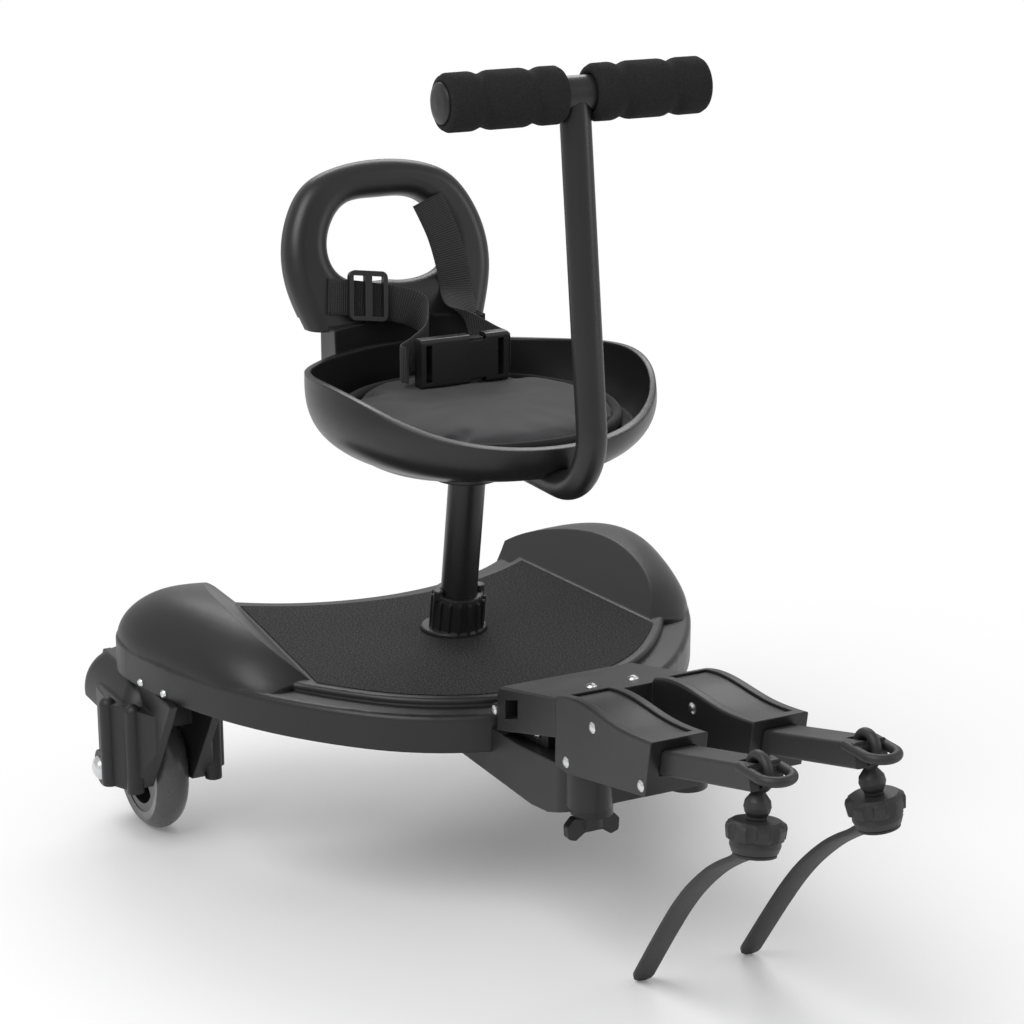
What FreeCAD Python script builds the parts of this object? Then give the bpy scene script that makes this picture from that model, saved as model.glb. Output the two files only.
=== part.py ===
import FreeCAD, Part
import os
from math import atan2, cos, pi, radians, sin, sqrt, tan

# A stroller ride-on board with a seat. Millimetres, X to the right, Y to the back, Z up.
# While the model is made, z = 0 is the floor and x = y = 0 is the middle of the seat post's socket.
# At the end everything moves along Y, so that the middle of the footprint is the origin.

V = FreeCAD.Vector
X_AXIS, Y_AXIS, Z_AXIS, ORIGIN = V(1, 0, 0), V(0, 1, 0), V(0, 0, 1), V(0, 0, 0)

# Clearances: a shaft in its hole, a piece in its pocket
running = 0.05
loose = 0.4

# Board: heights are measured down from the standing surface
deck_top = 155.0
skirt_depth = 30.0
shoulder_drop = 5.0
shoulder_width = 19.0
skirt_wall = 4.0
top_wall = 4.0
skirt_round = 4.0
plateau_round = 2.5
front_reach = 157.0
back_notch = 104.0
lobe_x = 149.0
lobe_y = 95.0
lobe_radius = 62.0
side_radius = 328.0
side_lean = 6.0
lobe_height = 29.0
lobe_peak_y = 60.0
lobe_front_length = 112.0
lobe_back_length = 98.0
lobe_sink = 10.0
lobe_crest_inset = 46.0
lobe_inner_span = 75.0
crease_x = 126.0
crease_toe = 4.9
wall_slope = 41.0
rib_thickness = 2.4
rib_pitch = 44.0
rib_count = 9
rib_lift = 6.0
mat_inset = 26.0
mat_thickness = 1.4
mat_proud = 0.5

# Wheels and forks
wheel_x = 184.0
wheel_y = 118.0
wheel_radius = 50.0
wheel_width = 24.0
tyre_crown = 7.0
tyre_inner = 37.0
rim_inner = 31.0
hub_radius = 15.0
spoke_count = 5
bearing_outer = 11.0
bearing_width = 7.0
axle_radius = 4.0
fork_gap = 2.5
fork_plate = 5.5
fork_boss_radius = 13.0
fork_boss_reach = 38.0
fork_flare = 43.0
fork_flare_y = -22.0
fork_front = -98.0
fork_back = 54.0
fork_rib_radius = 6.0
hood_half_width = 33.0
hood_height = 36.0
bolt_head_radius = 8.5
bolt_head_height = 5.0

# Seat post and its socket
post_radius = 12.7
post_wall = 1.6
post_lean = 9.1
post_depth = 22.0
socket_flange_radius = 23.0
socket_flange_height = 3.5
socket_height = 30.0
socket_radius = 17.5
socket_ribs = 16

# Seat: heights are measured up from the standing surface
seat_bottom = 119.0
seat_wall = 4.5
plate_radius = 24.0
plate_thickness = 3.0

# Backrest
backrest_y = 88.0
backrest_lean = 17.0
backrest_thickness = 26.0

# Webbing and its buckle
webbing = 25.0
webbing_thickness = 1.6
buckle_length = 66.0
buckle_width = 34.0
buckle_thickness = 11.0

# Handle
handle_radius = 9.7
handle_wall = 1.5
handle_low = 145.0
handle_bend = 40.0
handle_lean = 7.0
handle_foot_y = -198.0
handle_back_y = -80.0
crossbar_height = 392.7
crossbar_radius = 11.0
crossbar_half = 88.0
grip_inner = 10.0
grip_outer = 89.0
grip_radius = 17.8
grip_waist = 16.2
grip_notches = (30.0, 65.0)

# Hinge block and arms
block_half_width = 49.0
block_back = -163.0
arm_x = 34.5
arm_width = 38.4
arm_tilt = 12.0
arm_rear = -246.0
arm_bottom = -2.0
arm_length = 113.0
arm_wall = 3.0
swing_y = -226.0
pin_radius = 3.6
bar_width = 22.0
bar_height = 15.0
bar_lift = 15.0
bar_start = 28.0
bar_end = 190.0
lever_width = 26.0
lever_pin_s = 46.0
lever_pin_h = 33.0

# Strap clamps: places are (Y, height above the standing surface)
eye_y = -446.0
eye_height = 63.0
eye_radius = 11.0
eye_wire = 3.6
link_radius = 13.0
clamp_lean = 7.0
ball_radius = 7.5
ball_drop = 17.0
knob_top = 24.0
knob_radius = 18.5
knob_height = 19.0
knob_lobes = 8
cup_radius = 15.5
cup_height = 13.0
strap_width = 13.5
strap_aside = 1.2
strap_thickness = 3.6
strap_turn = 11.5


def polygon(points):
    return Part.Face(Part.makePolygon(points + [points[0]]))


def arc(first, middle, last):
    return Part.Arc(first, middle, last).toShape()


def line(first, last):
    return Part.LineSegment(first, last).toShape()


def spline(points):
    curve = Part.BSplineCurve()
    curve.interpolate(points)
    return curve.toShape()


def box(low, high):
    size = V(*high) - V(*low)
    return Part.makeBox(size.x, size.y, size.z, V(*low))


def rod(radius, start, end):
    way = V(*end) - V(*start)
    return Part.makeCylinder(radius, way.Length, V(*start), way)


def cone(radius, end_radius, start, end):
    way = V(*end) - V(*start)
    return Part.makeCone(radius, end_radius, way.Length, V(*start), way)


def tube(radius, wall, start, end):
    return rod(radius, start, end).cut(rod(radius - wall, start, end))


def mirrored(shape):
    return shape.mirror(ORIGIN, X_AXIS)


def rounded(shape, radius, chosen):
    return shape.makeFillet(radius, [edge for edge in shape.Edges if chosen(edge)])


def at_height(z):
    return lambda edge: abs(edge.BoundBox.ZMin - z) < 0.01 and abs(edge.BoundBox.ZMax - z) < 0.01


def fused(shapes):
    return shapes[0].multiFuse(shapes[1:]).removeSplitter()


def turned(profile, centre, way):
    """A solid of revolution: profile is (radius, height) pairs, its axis goes from centre along way."""
    solid = polygon([V(r, 0, h) for r, h in profile]).revolve(ORIGIN, Z_AXIS, 360)
    solid.Placement = FreeCAD.Placement(V(*centre), FreeCAD.Rotation(Z_AXIS, V(*way)))
    return solid


def up(z):
    """A height above the standing surface as a height above the floor."""
    return deck_top + z


# Deck outline: front, side, lobe and back stretches are arcs, each tangent to the next

side_centre = V(
    lobe_x - (side_radius - lobe_radius) * cos(radians(side_lean)),
    lobe_y + (side_radius - lobe_radius) * sin(radians(side_lean)),
    0,
)
side_rest = side_radius - front_reach
front_centre = V(0, (side_rest**2 - side_centre.Length**2) / (2 * (side_rest - side_centre.y)), 0)
front_radius = front_reach + front_centre.y
lobe_centre = V(lobe_x, lobe_y, 0)
notch_rest = back_notch - lobe_radius
back_centre = V(0, (lobe_centre.Length**2 - notch_rest**2) / (2 * (lobe_y - notch_rest)), 0)
back_radius = back_centre.y - back_notch


def way_from(start, end):
    return (end - start).normalize()


def deck_outline(inset, z):
    front_way = way_from(side_centre, front_centre)
    side_way = way_from(side_centre, lobe_centre)
    back_way = way_from(lobe_centre, back_centre)
    lobe_inset = lobe_radius - inset
    corner = front_centre + front_way * (front_radius - inset)
    shoulder = lobe_centre + side_way * lobe_inset
    inner = lobe_centre + back_way * lobe_inset
    first, last = atan2(side_way.y, side_way.x), atan2(back_way.y, back_way.x)
    middle = (first + last) / 2
    lobe_middle = lobe_centre + V(cos(middle), sin(middle), 0) * lobe_inset
    side_middle = side_centre + (front_way + side_way).normalize() * (side_radius - inset)
    right = [
        (corner, side_middle, shoulder),
        (shoulder, lobe_middle, inner),
    ]
    lift = V(0, 0, z)
    flip = lambda p: V(-p.x, p.y, p.z)
    front_tip = V(0, -front_reach + inset, 0)
    back_tip = V(0, back_notch - inset, 0)
    edges = [arc(flip(corner) + lift, front_tip + lift, corner + lift)]
    edges += [arc(a + lift, b + lift, c + lift) for a, b, c in right]
    edges += [arc(inner + lift, back_tip + lift, flip(inner) + lift)]
    edges += [arc(flip(c) + lift, flip(b) + lift, flip(a) + lift) for a, b, c in reversed(right)]
    return Part.Wire(edges)


def deck_slab(inset, low, high):
    return Part.Face(deck_outline(inset, low)).extrude(V(0, 0, high - low))


def half_width(y):
    """Half the deck's width at a place along Y."""
    shoulder_y = lobe_centre.y + way_from(side_centre, lobe_centre).y * lobe_radius
    corner_y = front_centre.y + way_from(side_centre, front_centre).y * front_radius
    if y > shoulder_y:
        return lobe_x + sqrt(max(lobe_radius**2 - (y - lobe_y) ** 2, 0))
    if y > corner_y:
        return side_centre.x + sqrt(side_radius**2 - (y - side_centre.y) ** 2)
    return sqrt(front_radius**2 - (y - front_centre.y) ** 2)


def lobe(shrink):
    """A raised side lobe, lofted through arched sections along Y, with its slanted inner wall cut off."""
    front_end = lobe_peak_y - lobe_front_length
    back_end = lobe_peak_y + lobe_back_length
    sections = []
    for share in (0.02, 0.14, 0.32, 0.5, 0.68, 0.84, 0.93, 0.97):
        y = front_end + share * (back_end - front_end)
        length = lobe_front_length if y < lobe_peak_y else lobe_back_length
        rise = (lobe_height + lobe_sink) * sqrt(1 - ((y - lobe_peak_y) / length) ** 2)
        outer = half_width(y) - 0.8 - shrink
        crest = half_width(y) - lobe_crest_inset
        top = rise - shrink
        points = []
        for step in range(13):
            angle = pi * step / 12
            span = outer - crest if angle < pi / 2 else lobe_inner_span - shrink
            points.append(V(crest + span * cos(angle), y, up(-lobe_sink) + top * sin(angle)))
        sections.append(Part.Wire([spline(points), line(points[-1], points[0])]))
    solid = Part.makeLoft(sections, True, False)
    reach = 120.0
    run = 1 / tan(radians(wall_slope))
    wedge = polygon([
        V(-2 * reach, -3 * reach, -2 * lobe_sink),
        V(-2 * lobe_sink * run, -3 * reach, -2 * lobe_sink),
        V(reach * run, -3 * reach, reach),
        V(-2 * reach, -3 * reach, reach),
    ]).extrude(V(0, 6 * reach, 0))
    wedge.rotate(ORIGIN, Z_AXIS, crease_toe)
    wedge.translate(V(crease_x + shrink / sin(radians(wall_slope)), 0, up(0)))
    notch = rod(back_radius + shrink + 0.3, (0, back_centre.y, up(-2 * lobe_sink)), (0, back_centre.y, up(reach)))
    return solid.cut([wedge, notch])


def make_deck():
    skirt = deck_slab(0, up(-skirt_depth), up(-shoulder_drop))
    skirt = rounded(skirt, skirt_round, at_height(up(-shoulder_drop)))
    plateau = deck_slab(shoulder_width, up(-2 * shoulder_drop), up(0))
    plateau = rounded(plateau, plateau_round, at_height(up(0)))
    outer = skirt.fuse([plateau, lobe(0), mirrored(lobe(0))])
    pocket = deck_slab(skirt_wall, up(-skirt_depth), up(-shoulder_drop - top_wall))
    step = deck_slab(shoulder_width + skirt_wall, up(-skirt_depth), up(-top_wall))
    hollow = pocket.fuse([step, lobe(top_wall), mirrored(lobe(top_wall))])
    solid_parts = []
    for number in range(rib_count):
        place = (number - (rib_count - 1) / 2) * rib_pitch
        solid_parts.append(box((place - rib_thickness / 2, -front_reach, up(-skirt_depth + rib_lift)),
                               (place + rib_thickness / 2, 2 * front_reach, up(lobe_height))))
        solid_parts.append(box((-2 * front_reach, place - rib_thickness / 2, up(-skirt_depth + rib_lift)),
                               (2 * front_reach, place + rib_thickness / 2, up(lobe_height))))
    solid_parts.append(rod(socket_radius + 8, (0, 0, up(-skirt_depth)), (0, 0, up(0))))
    for side in (-1, 1):
        foot = (side * bracket_screw_x, bracket_screw_y)
        solid_parts.append(rod(screw_boss_radius, (*foot, up(-skirt_depth)), (*foot, up(0))))
    hollow = hollow.cut(fused(solid_parts))
    deck = outer.cut(hollow)
    for side in (-1, 1):
        for y in fork_screw_y:
            deck = deck.cut(skirt_screw(side, y))
        foot = (side * bracket_screw_x, bracket_screw_y)
        deck = deck.cut(rod(bracket_screw_radius, (*foot, up(-skirt_depth)), (*foot, up(-skirt_depth + 14))))
    deck = deck.cut(mat_blank(loose / 2, up(-mat_thickness + mat_proud), up(lobe_height)))
    hole = rod(socket_radius - 1.0, *post_line(-2 * skirt_depth, socket_height))
    return deck.cut(hole)


def mat_blank(grow, low, high):
    """The mat's outline: the deck's, drawn in, and cut straight along the foot of both side walls."""
    blank = deck_slab(mat_inset - grow, low, high)
    side = box((0, -2 * front_reach, low - 1), (2 * front_reach, 2 * front_reach, high + 1))
    side.rotate(ORIGIN, Z_AXIS, crease_toe)
    side.translate(V(crease_x - 2.5 + grow, 0, 0))
    return blank.cut(side).cut(mirrored(side))


def make_mat():
    mat = mat_blank(0, up(-mat_thickness + mat_proud), up(mat_proud))
    return mat.cut(rod(socket_flange_radius + loose, (0, 0, up(-9)), (0, 0, up(9))))


# Seat post: its line leans forward as it rises

fork_screw_y = (66.0, 38.0)
fork_screw_drop = 26.2
screw_boss_radius = 6.5
bracket_screw_x = 28.0
bracket_screw_y = -118.0
bracket_screw_radius = 2.5


def skirt_screw(side, y):
    """A domed screw through the skirt into a fork's upstand."""
    at = V(half_width(y), y, up(-fork_screw_drop))
    way = way_from(V(side_centre.x, side_centre.y, at.z), at)
    screw = rod(1.6, at - way * 9, at).fuse(turned([(0, -0.4), (3.0, -0.4), (3.0, 0.6), (2, 1.8), (0, 2.3)], at, way))
    return screw if side > 0 else mirrored(screw)


def post_point(z):
    """The place on the post's axis at a height above the standing surface."""
    return (0, -3.5 - z * tan(radians(post_lean)), up(z))


def post_line(low, high):
    return post_point(low), post_point(high)


def make_socket():
    flange = rod(socket_flange_radius, (0, 0, up(-mat_thickness + mat_proud)), (0, 0, up(socket_flange_height)))
    flange = rounded(flange, 1.5, at_height(up(socket_flange_height)))
    sleeve = cone(socket_radius + 1.0, socket_radius - 0.8, *post_line(0, socket_height))
    tail = rod(socket_radius - 1.4, *post_line(-skirt_depth + 4, 2))
    start, end = V(*post_point(1)), V(*post_point(socket_height - 3))
    ribs = []
    for number in range(socket_ribs):
        angle = 360.0 * number / socket_ribs
        rib = box((socket_radius - 3, -0.9, 0), (socket_radius + 1.6, 0.9, (end - start).Length))
        rib.rotate(ORIGIN, Z_AXIS, angle)
        rib.rotate(ORIGIN, X_AXIS, post_lean)
        rib.translate(start)
        ribs.append(rib)
    ears = []
    for side in (-1, 1):
        low, high = post_point(socket_height - 4), post_point(socket_height + 3)
        ears.append(rod(3.6, (side * 15.6, low[1], low[2]), (side * 15.6, high[1], high[2])))
    above = box((-99, -99, up(-mat_thickness + mat_proud)), (99, 99, up(99)))
    body = fused([fused([sleeve] + ears + ribs).common(above), flange, tail])
    return body.cut(rod(post_radius + running, *post_line(-2 * skirt_depth, socket_height + 20)))


def make_post():
    post = tube(post_radius, post_wall, *post_line(-post_depth, seat_bottom + 5))
    return post.cut(box((-99, -99, up(seat_bottom - plate_thickness)), (99, 99, up(300))))


def make_post_plate():
    foot = post_point(seat_bottom - plate_thickness)
    disc = rod(plate_radius, foot, (foot[0], foot[1], up(seat_bottom)))
    return rounded(disc, 1.0, at_height(up(seat_bottom - plate_thickness)))


# Seat shell: (height, middle along Y, half width, half length) of each level
# The rim is the bowl cut by a sheet that is low in front and high at the sides

seat_levels = (
    (119.0, 0.0, 41.0, 44.0),
    (124.0, -2.0, 56.0, 57.0),
    (134.0, -12.0, 73.0, 82.0),
    (148.0, -35.0, 96.0, 112.0),
    (165.0, -43.0, 112.0, 119.0),
    (185.0, -42.0, 116.0, 120.0),
    (212.0, -42.0, 117.0, 121.0),
)
pan_height = 160.0
pan_thickness = 2.5
post_opening = 16.0
channel_wall = 4.0
channel_back = -70.0
rim_line = ((-190.0, 170.0), (-160.0, 171.0), (-128.0, 180.0), (-92.0, 192.0), (-55.0, 198.0), (0.0, 195.0), (110.0, 196.0))
rim_round = 7.0


def seat_bowl(inset, levels):
    rings = []
    for height, middle, half, length in levels:
        ellipse = Part.Ellipse(ORIGIN, max(half, length) - inset, min(half, length) - inset).toShape()
        if length > half:
            ellipse.rotate(ORIGIN, Z_AXIS, 90)
        ellipse.translate(V(0, middle, up(height)))
        rings.append(Part.Wire([ellipse]))
    return Part.makeLoft(rings, True, False)


def rim_sheet(drop):
    """Everything above the rim line, lowered by drop."""
    edge = [V(-200, y, up(z - drop)) for y, z in rim_line]
    top = up(400)
    outline = [spline(edge), line(edge[-1], V(-200, edge[-1].y, top))]
    outline += [line(V(-200, edge[-1].y, top), V(-200, edge[0].y, top)), line(V(-200, edge[0].y, top), edge[0])]
    return Part.Face(Part.Wire(outline)).extrude(V(400, 0, 0))


def inner_levels():
    return [(height + seat_wall, middle, half, length) for height, middle, half, length in seat_levels]


def make_shell():
    outer = seat_bowl(0, seat_levels)
    inner = seat_bowl(seat_wall, inner_levels())
    shell = outer.cut(inner)
    pan = box((-200, -300, up(pan_height - pan_thickness)), (200, 200, up(pan_height)))
    walls = box((-handle_radius - channel_wall, -300, up(seat_bottom)),
                (handle_radius + channel_wall, channel_back + channel_wall, up(pan_height)))
    shell = shell.fuse([inner.common(pan), outer.common(walls)])
    shell = shell.cut(rim_sheet(0))
    trough = box((-handle_radius - running, -300, up(0)), (handle_radius + running, channel_back, up(handle_low)))
    shell = shell.cut([handle_path(handle_radius + running), trough])
    return shell.cut(rod(post_opening, *post_line(seat_bottom - 10, seat_bottom + 20)))


# Backrest: a leaning loop whose opening is a handhold, with a tongue down to the seat

backrest_outline = ((60.0, 158.0), (66.0, 196.0), (77.0, 232.0), (78.0, 252.0), (70.0, 282.0), (54.0, 303.0))
backrest_top = 316.0
backrest_crown = (33.0, 312.2)
handhold = ((0, 231.0), (26.0, 232.0), (42.0, 241.0), (46.0, 254.0), (42.0, 271.0), (29.0, 286.0), (0, 290.0))
backrest_round = 11.0
tongue_thickness = 15.0
tongue_top = 212.0
foot_half = 58.0
foot_low = 172.0
foot_high = 206.0
foot_back = 88.0


def leaned(shape):
    shape.rotate(V(0, backrest_y, up(196)), X_AXIS, -backrest_lean)
    return shape


def make_backrest():
    right = [V(x, 0, up(z)) for x, z in backrest_outline + (backrest_crown,)]
    left = [V(-p.x, p.y, p.z) for p in reversed(right)]
    edge = spline(right + [V(0, 0, up(backrest_top))] + left)
    loop = Part.Face(Part.Wire([edge, line(left[-1], right[0])])).extrude(V(0, backrest_thickness, 0))
    ring = [V(x, 0, up(z)) for x, z in handhold] + [V(-x, 0, up(z)) for x, z in reversed(handhold[1:-1])]
    opening = Part.BSplineCurve()
    opening.interpolate(ring, PeriodicFlag=True)
    loop = loop.cut(Part.Face(Part.Wire([opening.toShape()])).extrude(V(0, backrest_thickness, 0)))
    loop = loop.cut(box((-200, tongue_thickness, up(100)), (200, 60, up(tongue_top))))
    loop = rounded(loop, backrest_round, lambda edge: edge.BoundBox.YLength < 0.01 and
                   edge.BoundBox.ZMax > up(tongue_top + 20))
    loop.translate(V(0, backrest_y - backrest_thickness / 2, 0))
    loop.rotate(V(0, backrest_y, up(196)), X_AXIS, -backrest_lean)
    foot = box((-foot_half, 40, up(foot_low)), (foot_half, foot_back, up(foot_high)))
    loop = loop.cut(box((-200, -50, up(0)), (200, 200, up(foot_high - 4)))).fuse(foot)
    return loop.cut(seat_bowl(-running, seat_levels))


pad_half = (95.0, 99.0)
pad_y = -40.0
pad_height = 174.0
pad_round = 4.5


def make_pad():
    ellipse = Part.Ellipse(ORIGIN, pad_half[1], pad_half[0]).toShape()
    ellipse.rotate(ORIGIN, Z_AXIS, 90)
    ellipse.translate(V(0, pad_y, up(pan_height + running)))
    pad = Part.Face(Part.Wire([ellipse])).extrude(V(0, 0, pad_height - pan_height - running))
    return rounded(pad, pad_round, lambda edge: True)


# Handle: from the shell's front boss forward, up round one bend, and to the crossbar


def handle_corner():
    return V(0, handle_foot_y, up(handle_low))


def crossbar_y():
    return handle_foot_y + (crossbar_height - handle_low) * tan(radians(handle_lean))


def handle_path(radius):
    corner = handle_corner()
    back = V(0, handle_back_y, up(handle_low))
    top = V(0, crossbar_y(), up(crossbar_height))
    rear_way, top_way = way_from(corner, back), way_from(corner, top)
    half_turn = rear_way.getAngle(top_way) / 2
    reach = handle_bend / tan(half_turn)
    start, end = corner + rear_way * reach, corner + top_way * reach
    centre = corner + (rear_way + top_way).normalize() * (handle_bend / sin(half_turn))
    middle = centre + way_from(centre, corner) * handle_bend
    spine = Part.Wire([line(back, start), arc(start, middle, end), line(end, top)])
    ring = Part.Wire([Part.Circle(back, Y_AXIS, radius).toShape()])
    return spine.makePipeShell([ring], True, False)


def make_handle_tube():
    solid = handle_path(handle_radius).cut(handle_path(handle_radius - handle_wall))
    cross = rod(crossbar_radius, (-crossbar_half, crossbar_y(), up(crossbar_height)),
                (crossbar_half, crossbar_y(), up(crossbar_height)))
    return solid.cut(cross)


def make_crossbar():
    return tube(crossbar_radius, handle_wall, (-crossbar_half, crossbar_y(), up(crossbar_height)),
                (crossbar_half, crossbar_y(), up(crossbar_height)))


def make_grip():
    """A foam sleeve with two turned grooves and round shoulders."""
    shoulder = 5.0
    points = [V(crossbar_radius, 0, grip_inner), V(grip_radius - shoulder, 0, grip_inner)]
    edges = [line(points[0], points[1])]
    edges.append(arc(points[1], V(grip_radius - shoulder * 0.29, 0, grip_inner + shoulder * 0.29),
                     V(grip_radius, 0, grip_inner + shoulder)))
    last = V(grip_radius, 0, grip_inner + shoulder)
    for notch in grip_notches:
        low = V(grip_radius, 0, notch - 7)
        high = V(grip_radius, 0, notch + 7)
        if low.z > last.z:
            edges.append(line(last, low))
        edges.append(arc(low, V(grip_radius - 0.6, 0, notch - 3), V(grip_waist - 0.4, 0, notch)))
        edges.append(arc(V(grip_waist - 0.4, 0, notch), V(grip_radius - 0.6, 0, notch + 3), high))
        last = high
    end = V(grip_radius, 0, grip_outer - shoulder)
    edges.append(line(last, end))
    tip = V(grip_radius - shoulder, 0, grip_outer)
    edges.append(arc(end, V(grip_radius - shoulder * 0.29, 0, grip_outer - shoulder * 0.29), tip))
    edges.append(line(tip, V(crossbar_radius, 0, grip_outer)))
    edges.append(line(V(crossbar_radius, 0, grip_outer), points[0]))
    grip = Part.Face(Part.Wire(edges)).revolve(ORIGIN, Z_AXIS, 360)
    grip.Placement = FreeCAD.Placement(V(0, crossbar_y(), up(crossbar_height)), FreeCAD.Rotation(Z_AXIS, X_AXIS))
    return grip


def make_end_plug():
    inside = crossbar_radius - handle_wall
    profile = [(0, -12), (inside, -12), (inside, grip_outer - crossbar_half), (crossbar_radius + 1.4, grip_outer - crossbar_half),
               (crossbar_radius + 1.4, 2.4), (crossbar_radius - 2, 3.6), (0, 4.4)]
    return turned(profile, (crossbar_half, crossbar_y(), up(crossbar_height)), (1, 0, 0))


# Webbing: bands lofted through rectangles that follow a path


def band(path, across, width, thickness):
    sections = []
    for number, place in enumerate(path):
        ahead = V(*path[min(number + 1, len(path) - 1)])
        behind = V(*path[max(number - 1, 0)])
        way = way_from(behind, ahead)
        wide = across[number] if isinstance(across, list) else across
        side = (wide - way * wide.dot(way)).normalize() * (width / 2)
        thick = way.cross(side).normalize() * (thickness / 2)
        at = V(*place)
        corners = [at + side + thick, at + side - thick, at - side - thick, at - side + thick]
        sections.append(Part.makePolygon(corners + [corners[0]]))
    return Part.makeLoft(sections, True, True)


def backrest_front(x, z, off):
    """A place off the front of the leaning backrest, at a height above the standing surface."""
    lean = radians(backrest_lean)
    depth = (backrest_thickness / 2 + off) / cos(lean)
    return (x, backrest_y + (z - 196) * tan(lean) - depth, up(z))


buckle_at = (10.0, 5.0, 191.0)
shoulder_band = ((31, 284), (39, 262), (43, 240), (44, 222))
shoulder_tail = ((40, 66, 212), (38, 50, 203), (44, 28, 195), (50, 14, 191), (46, 5, 191))
cross_band = ((-54, 226), (-30, 222), (-8, 217))
cross_tail = ((6, 71, 213), (9, 58, 205), (0, 40, 197), (-18, 24, 193), (-32, 13, 191), (-31, 5, 191))
upward = V(0, tan(radians(backrest_lean)), 1)


def strap_path(points, off):
    return [backrest_front(x, z, off) for x, z in points]


def make_shoulder_strap():
    off = webbing_thickness / 2 + 0.3
    path = strap_path(shoulder_band, off) + [(x, y, up(z)) for x, y, z in shoulder_tail]
    across = [X_AXIS] * 4 + [V(1, 0, -0.3), V(0.3, 0, -1)] + [V(0, 0, -1)] * 3
    return band(path, across, webbing, webbing_thickness)


def make_cross_strap():
    off = webbing_thickness / 2 + 0.3
    path = strap_path(cross_band, off) + [(x, y, up(z)) for x, y, z in cross_tail]
    return band(path, [upward] * 4 + [Z_AXIS] * 5, webbing, webbing_thickness)


def make_tri_glide():
    width, height, rim = 29.0, 35.0, 3.2
    frame = box((-width / 2, -4.2, -height / 2), (width / 2, 0, height / 2))
    frame = rounded(frame, 4.5, lambda edge: edge.BoundBox.YLength > 4)
    slots = []
    for low, high in ((-width / 2 + rim, -2.6), (2.6, width / 2 - rim)):
        slots.append(box((low, -9, -height / 2 + rim), (high, 9, height / 2 - rim)))
    frame = frame.cut(slots)
    frame.rotate(ORIGIN, Y_AXIS, 8)
    frame.rotate(ORIGIN, X_AXIS, -backrest_lean)
    frame.translate(V(*backrest_front(-26, 223.5, webbing_thickness + 0.7)))
    return frame


def make_buckle_socket():
    """The half with the two side openings: a flat sleeve that the prongs go into."""
    x, y, z = buckle_at[0], buckle_at[1], up(buckle_at[2])
    half, thick = buckle_width / 2, buckle_thickness / 2
    right = buckle_length / 2
    body = box((-4, -thick, -half), (right, thick, half))
    body = rounded(body, 2.5, lambda edge: edge.BoundBox.XLength > 30)
    body = body.cut(box((-5, -thick + 2, -half + 2.5), (22, thick - 2, half - 2.5)))
    body = body.cut([box((4, -9, -half - 1), (16, 9, -half + 4)), box((4, -9, half - 4), (16, 9, half + 1))])
    body = body.cut(box((right - 8, -thick - 1, -half + 4), (right - 3.5, thick + 1, half - 4)))
    body.translate(V(x, y, z))
    return body


def make_buckle_plug():
    x, y, z = buckle_at[0], buckle_at[1], up(buckle_at[2])
    half, thick = buckle_width / 2, buckle_thickness / 2
    left = -buckle_length / 2
    head = box((left, -thick, -half), (-4, thick, half))
    head = rounded(head, 2.5, lambda edge: edge.BoundBox.XLength > 20)
    head = head.cut(box((left + 3.5, -thick - 1, -half + 4), (left + 8, thick + 1, half - 4)))
    prongs = [box((-4, -thick + 2, -half + 2.5), (15, thick - 2, -half + 6)),
              box((-4, -thick + 2, half - 6), (15, thick - 2, half - 2.5)),
              box((-4, -thick + 2, -2), (20, thick - 2, 2))]
    plug = fused([head] + prongs)
    plug.translate(V(x, y, z))
    return plug


# Wheel: turned parts, their profiles are (radius, place along the axle) pairs


def wheel_tyre():
    half = wheel_width / 2
    shoulder = wheel_radius - tyre_crown
    ring = V(tyre_inner, 0, -half + 1), V(shoulder, 0, -half), V(shoulder, 0, half), V(tyre_inner, 0, half - 1)
    edges = [line(ring[0], ring[1]), arc(ring[1], V(wheel_radius, 0, 0), ring[2])]
    edges += [line(ring[2], ring[3]), line(ring[3], ring[0])]
    tyre = Part.Face(Part.Wire(edges)).revolve(ORIGIN, Z_AXIS, 360)
    tyre.Placement = FreeCAD.Placement(ORIGIN, FreeCAD.Rotation(Z_AXIS, X_AXIS))
    return tyre


def wheel_rim():
    half = wheel_width / 2
    ring = tube(tyre_inner, tyre_inner - rim_inner, (-half + 1.5, 0, 0), (half - 1.5, 0, 0))
    hub = rod(hub_radius, (-half, 0, 0), (half, 0, 0))
    parts = [ring, hub]
    for number in range(spoke_count):
        spoke = box((-6, -4.5, hub_radius - 3), (6, 4.5, rim_inner + 2))
        spoke.rotate(ORIGIN, X_AXIS, 360.0 * number / spoke_count)
        parts.append(spoke)
    rim = fused(parts)
    seats = [rod(bearing_outer, (side * (half - bearing_width), 0, 0), (side * (half + 1), 0, 0)) for side in (-1, 1)]
    return rim.cut([rod(axle_radius + 2, (-half, 0, 0), (half, 0, 0))] + seats)


def wheel_bearings():
    half = wheel_width / 2
    rings = []
    for side in (-1, 1):
        ends = (side * (half - bearing_width), 0, 0), (side * half, 0, 0)
        rings.append(rod(bearing_outer, *ends).cut(rod(axle_radius + running, *ends)))
    return Part.makeCompound(rings)


def placed_wheel(shape, side):
    shape.translate(V(side * wheel_x, wheel_y, wheel_radius))
    return shape


# Fork: made around the wheel's centre with x outward, then put in place


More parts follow.
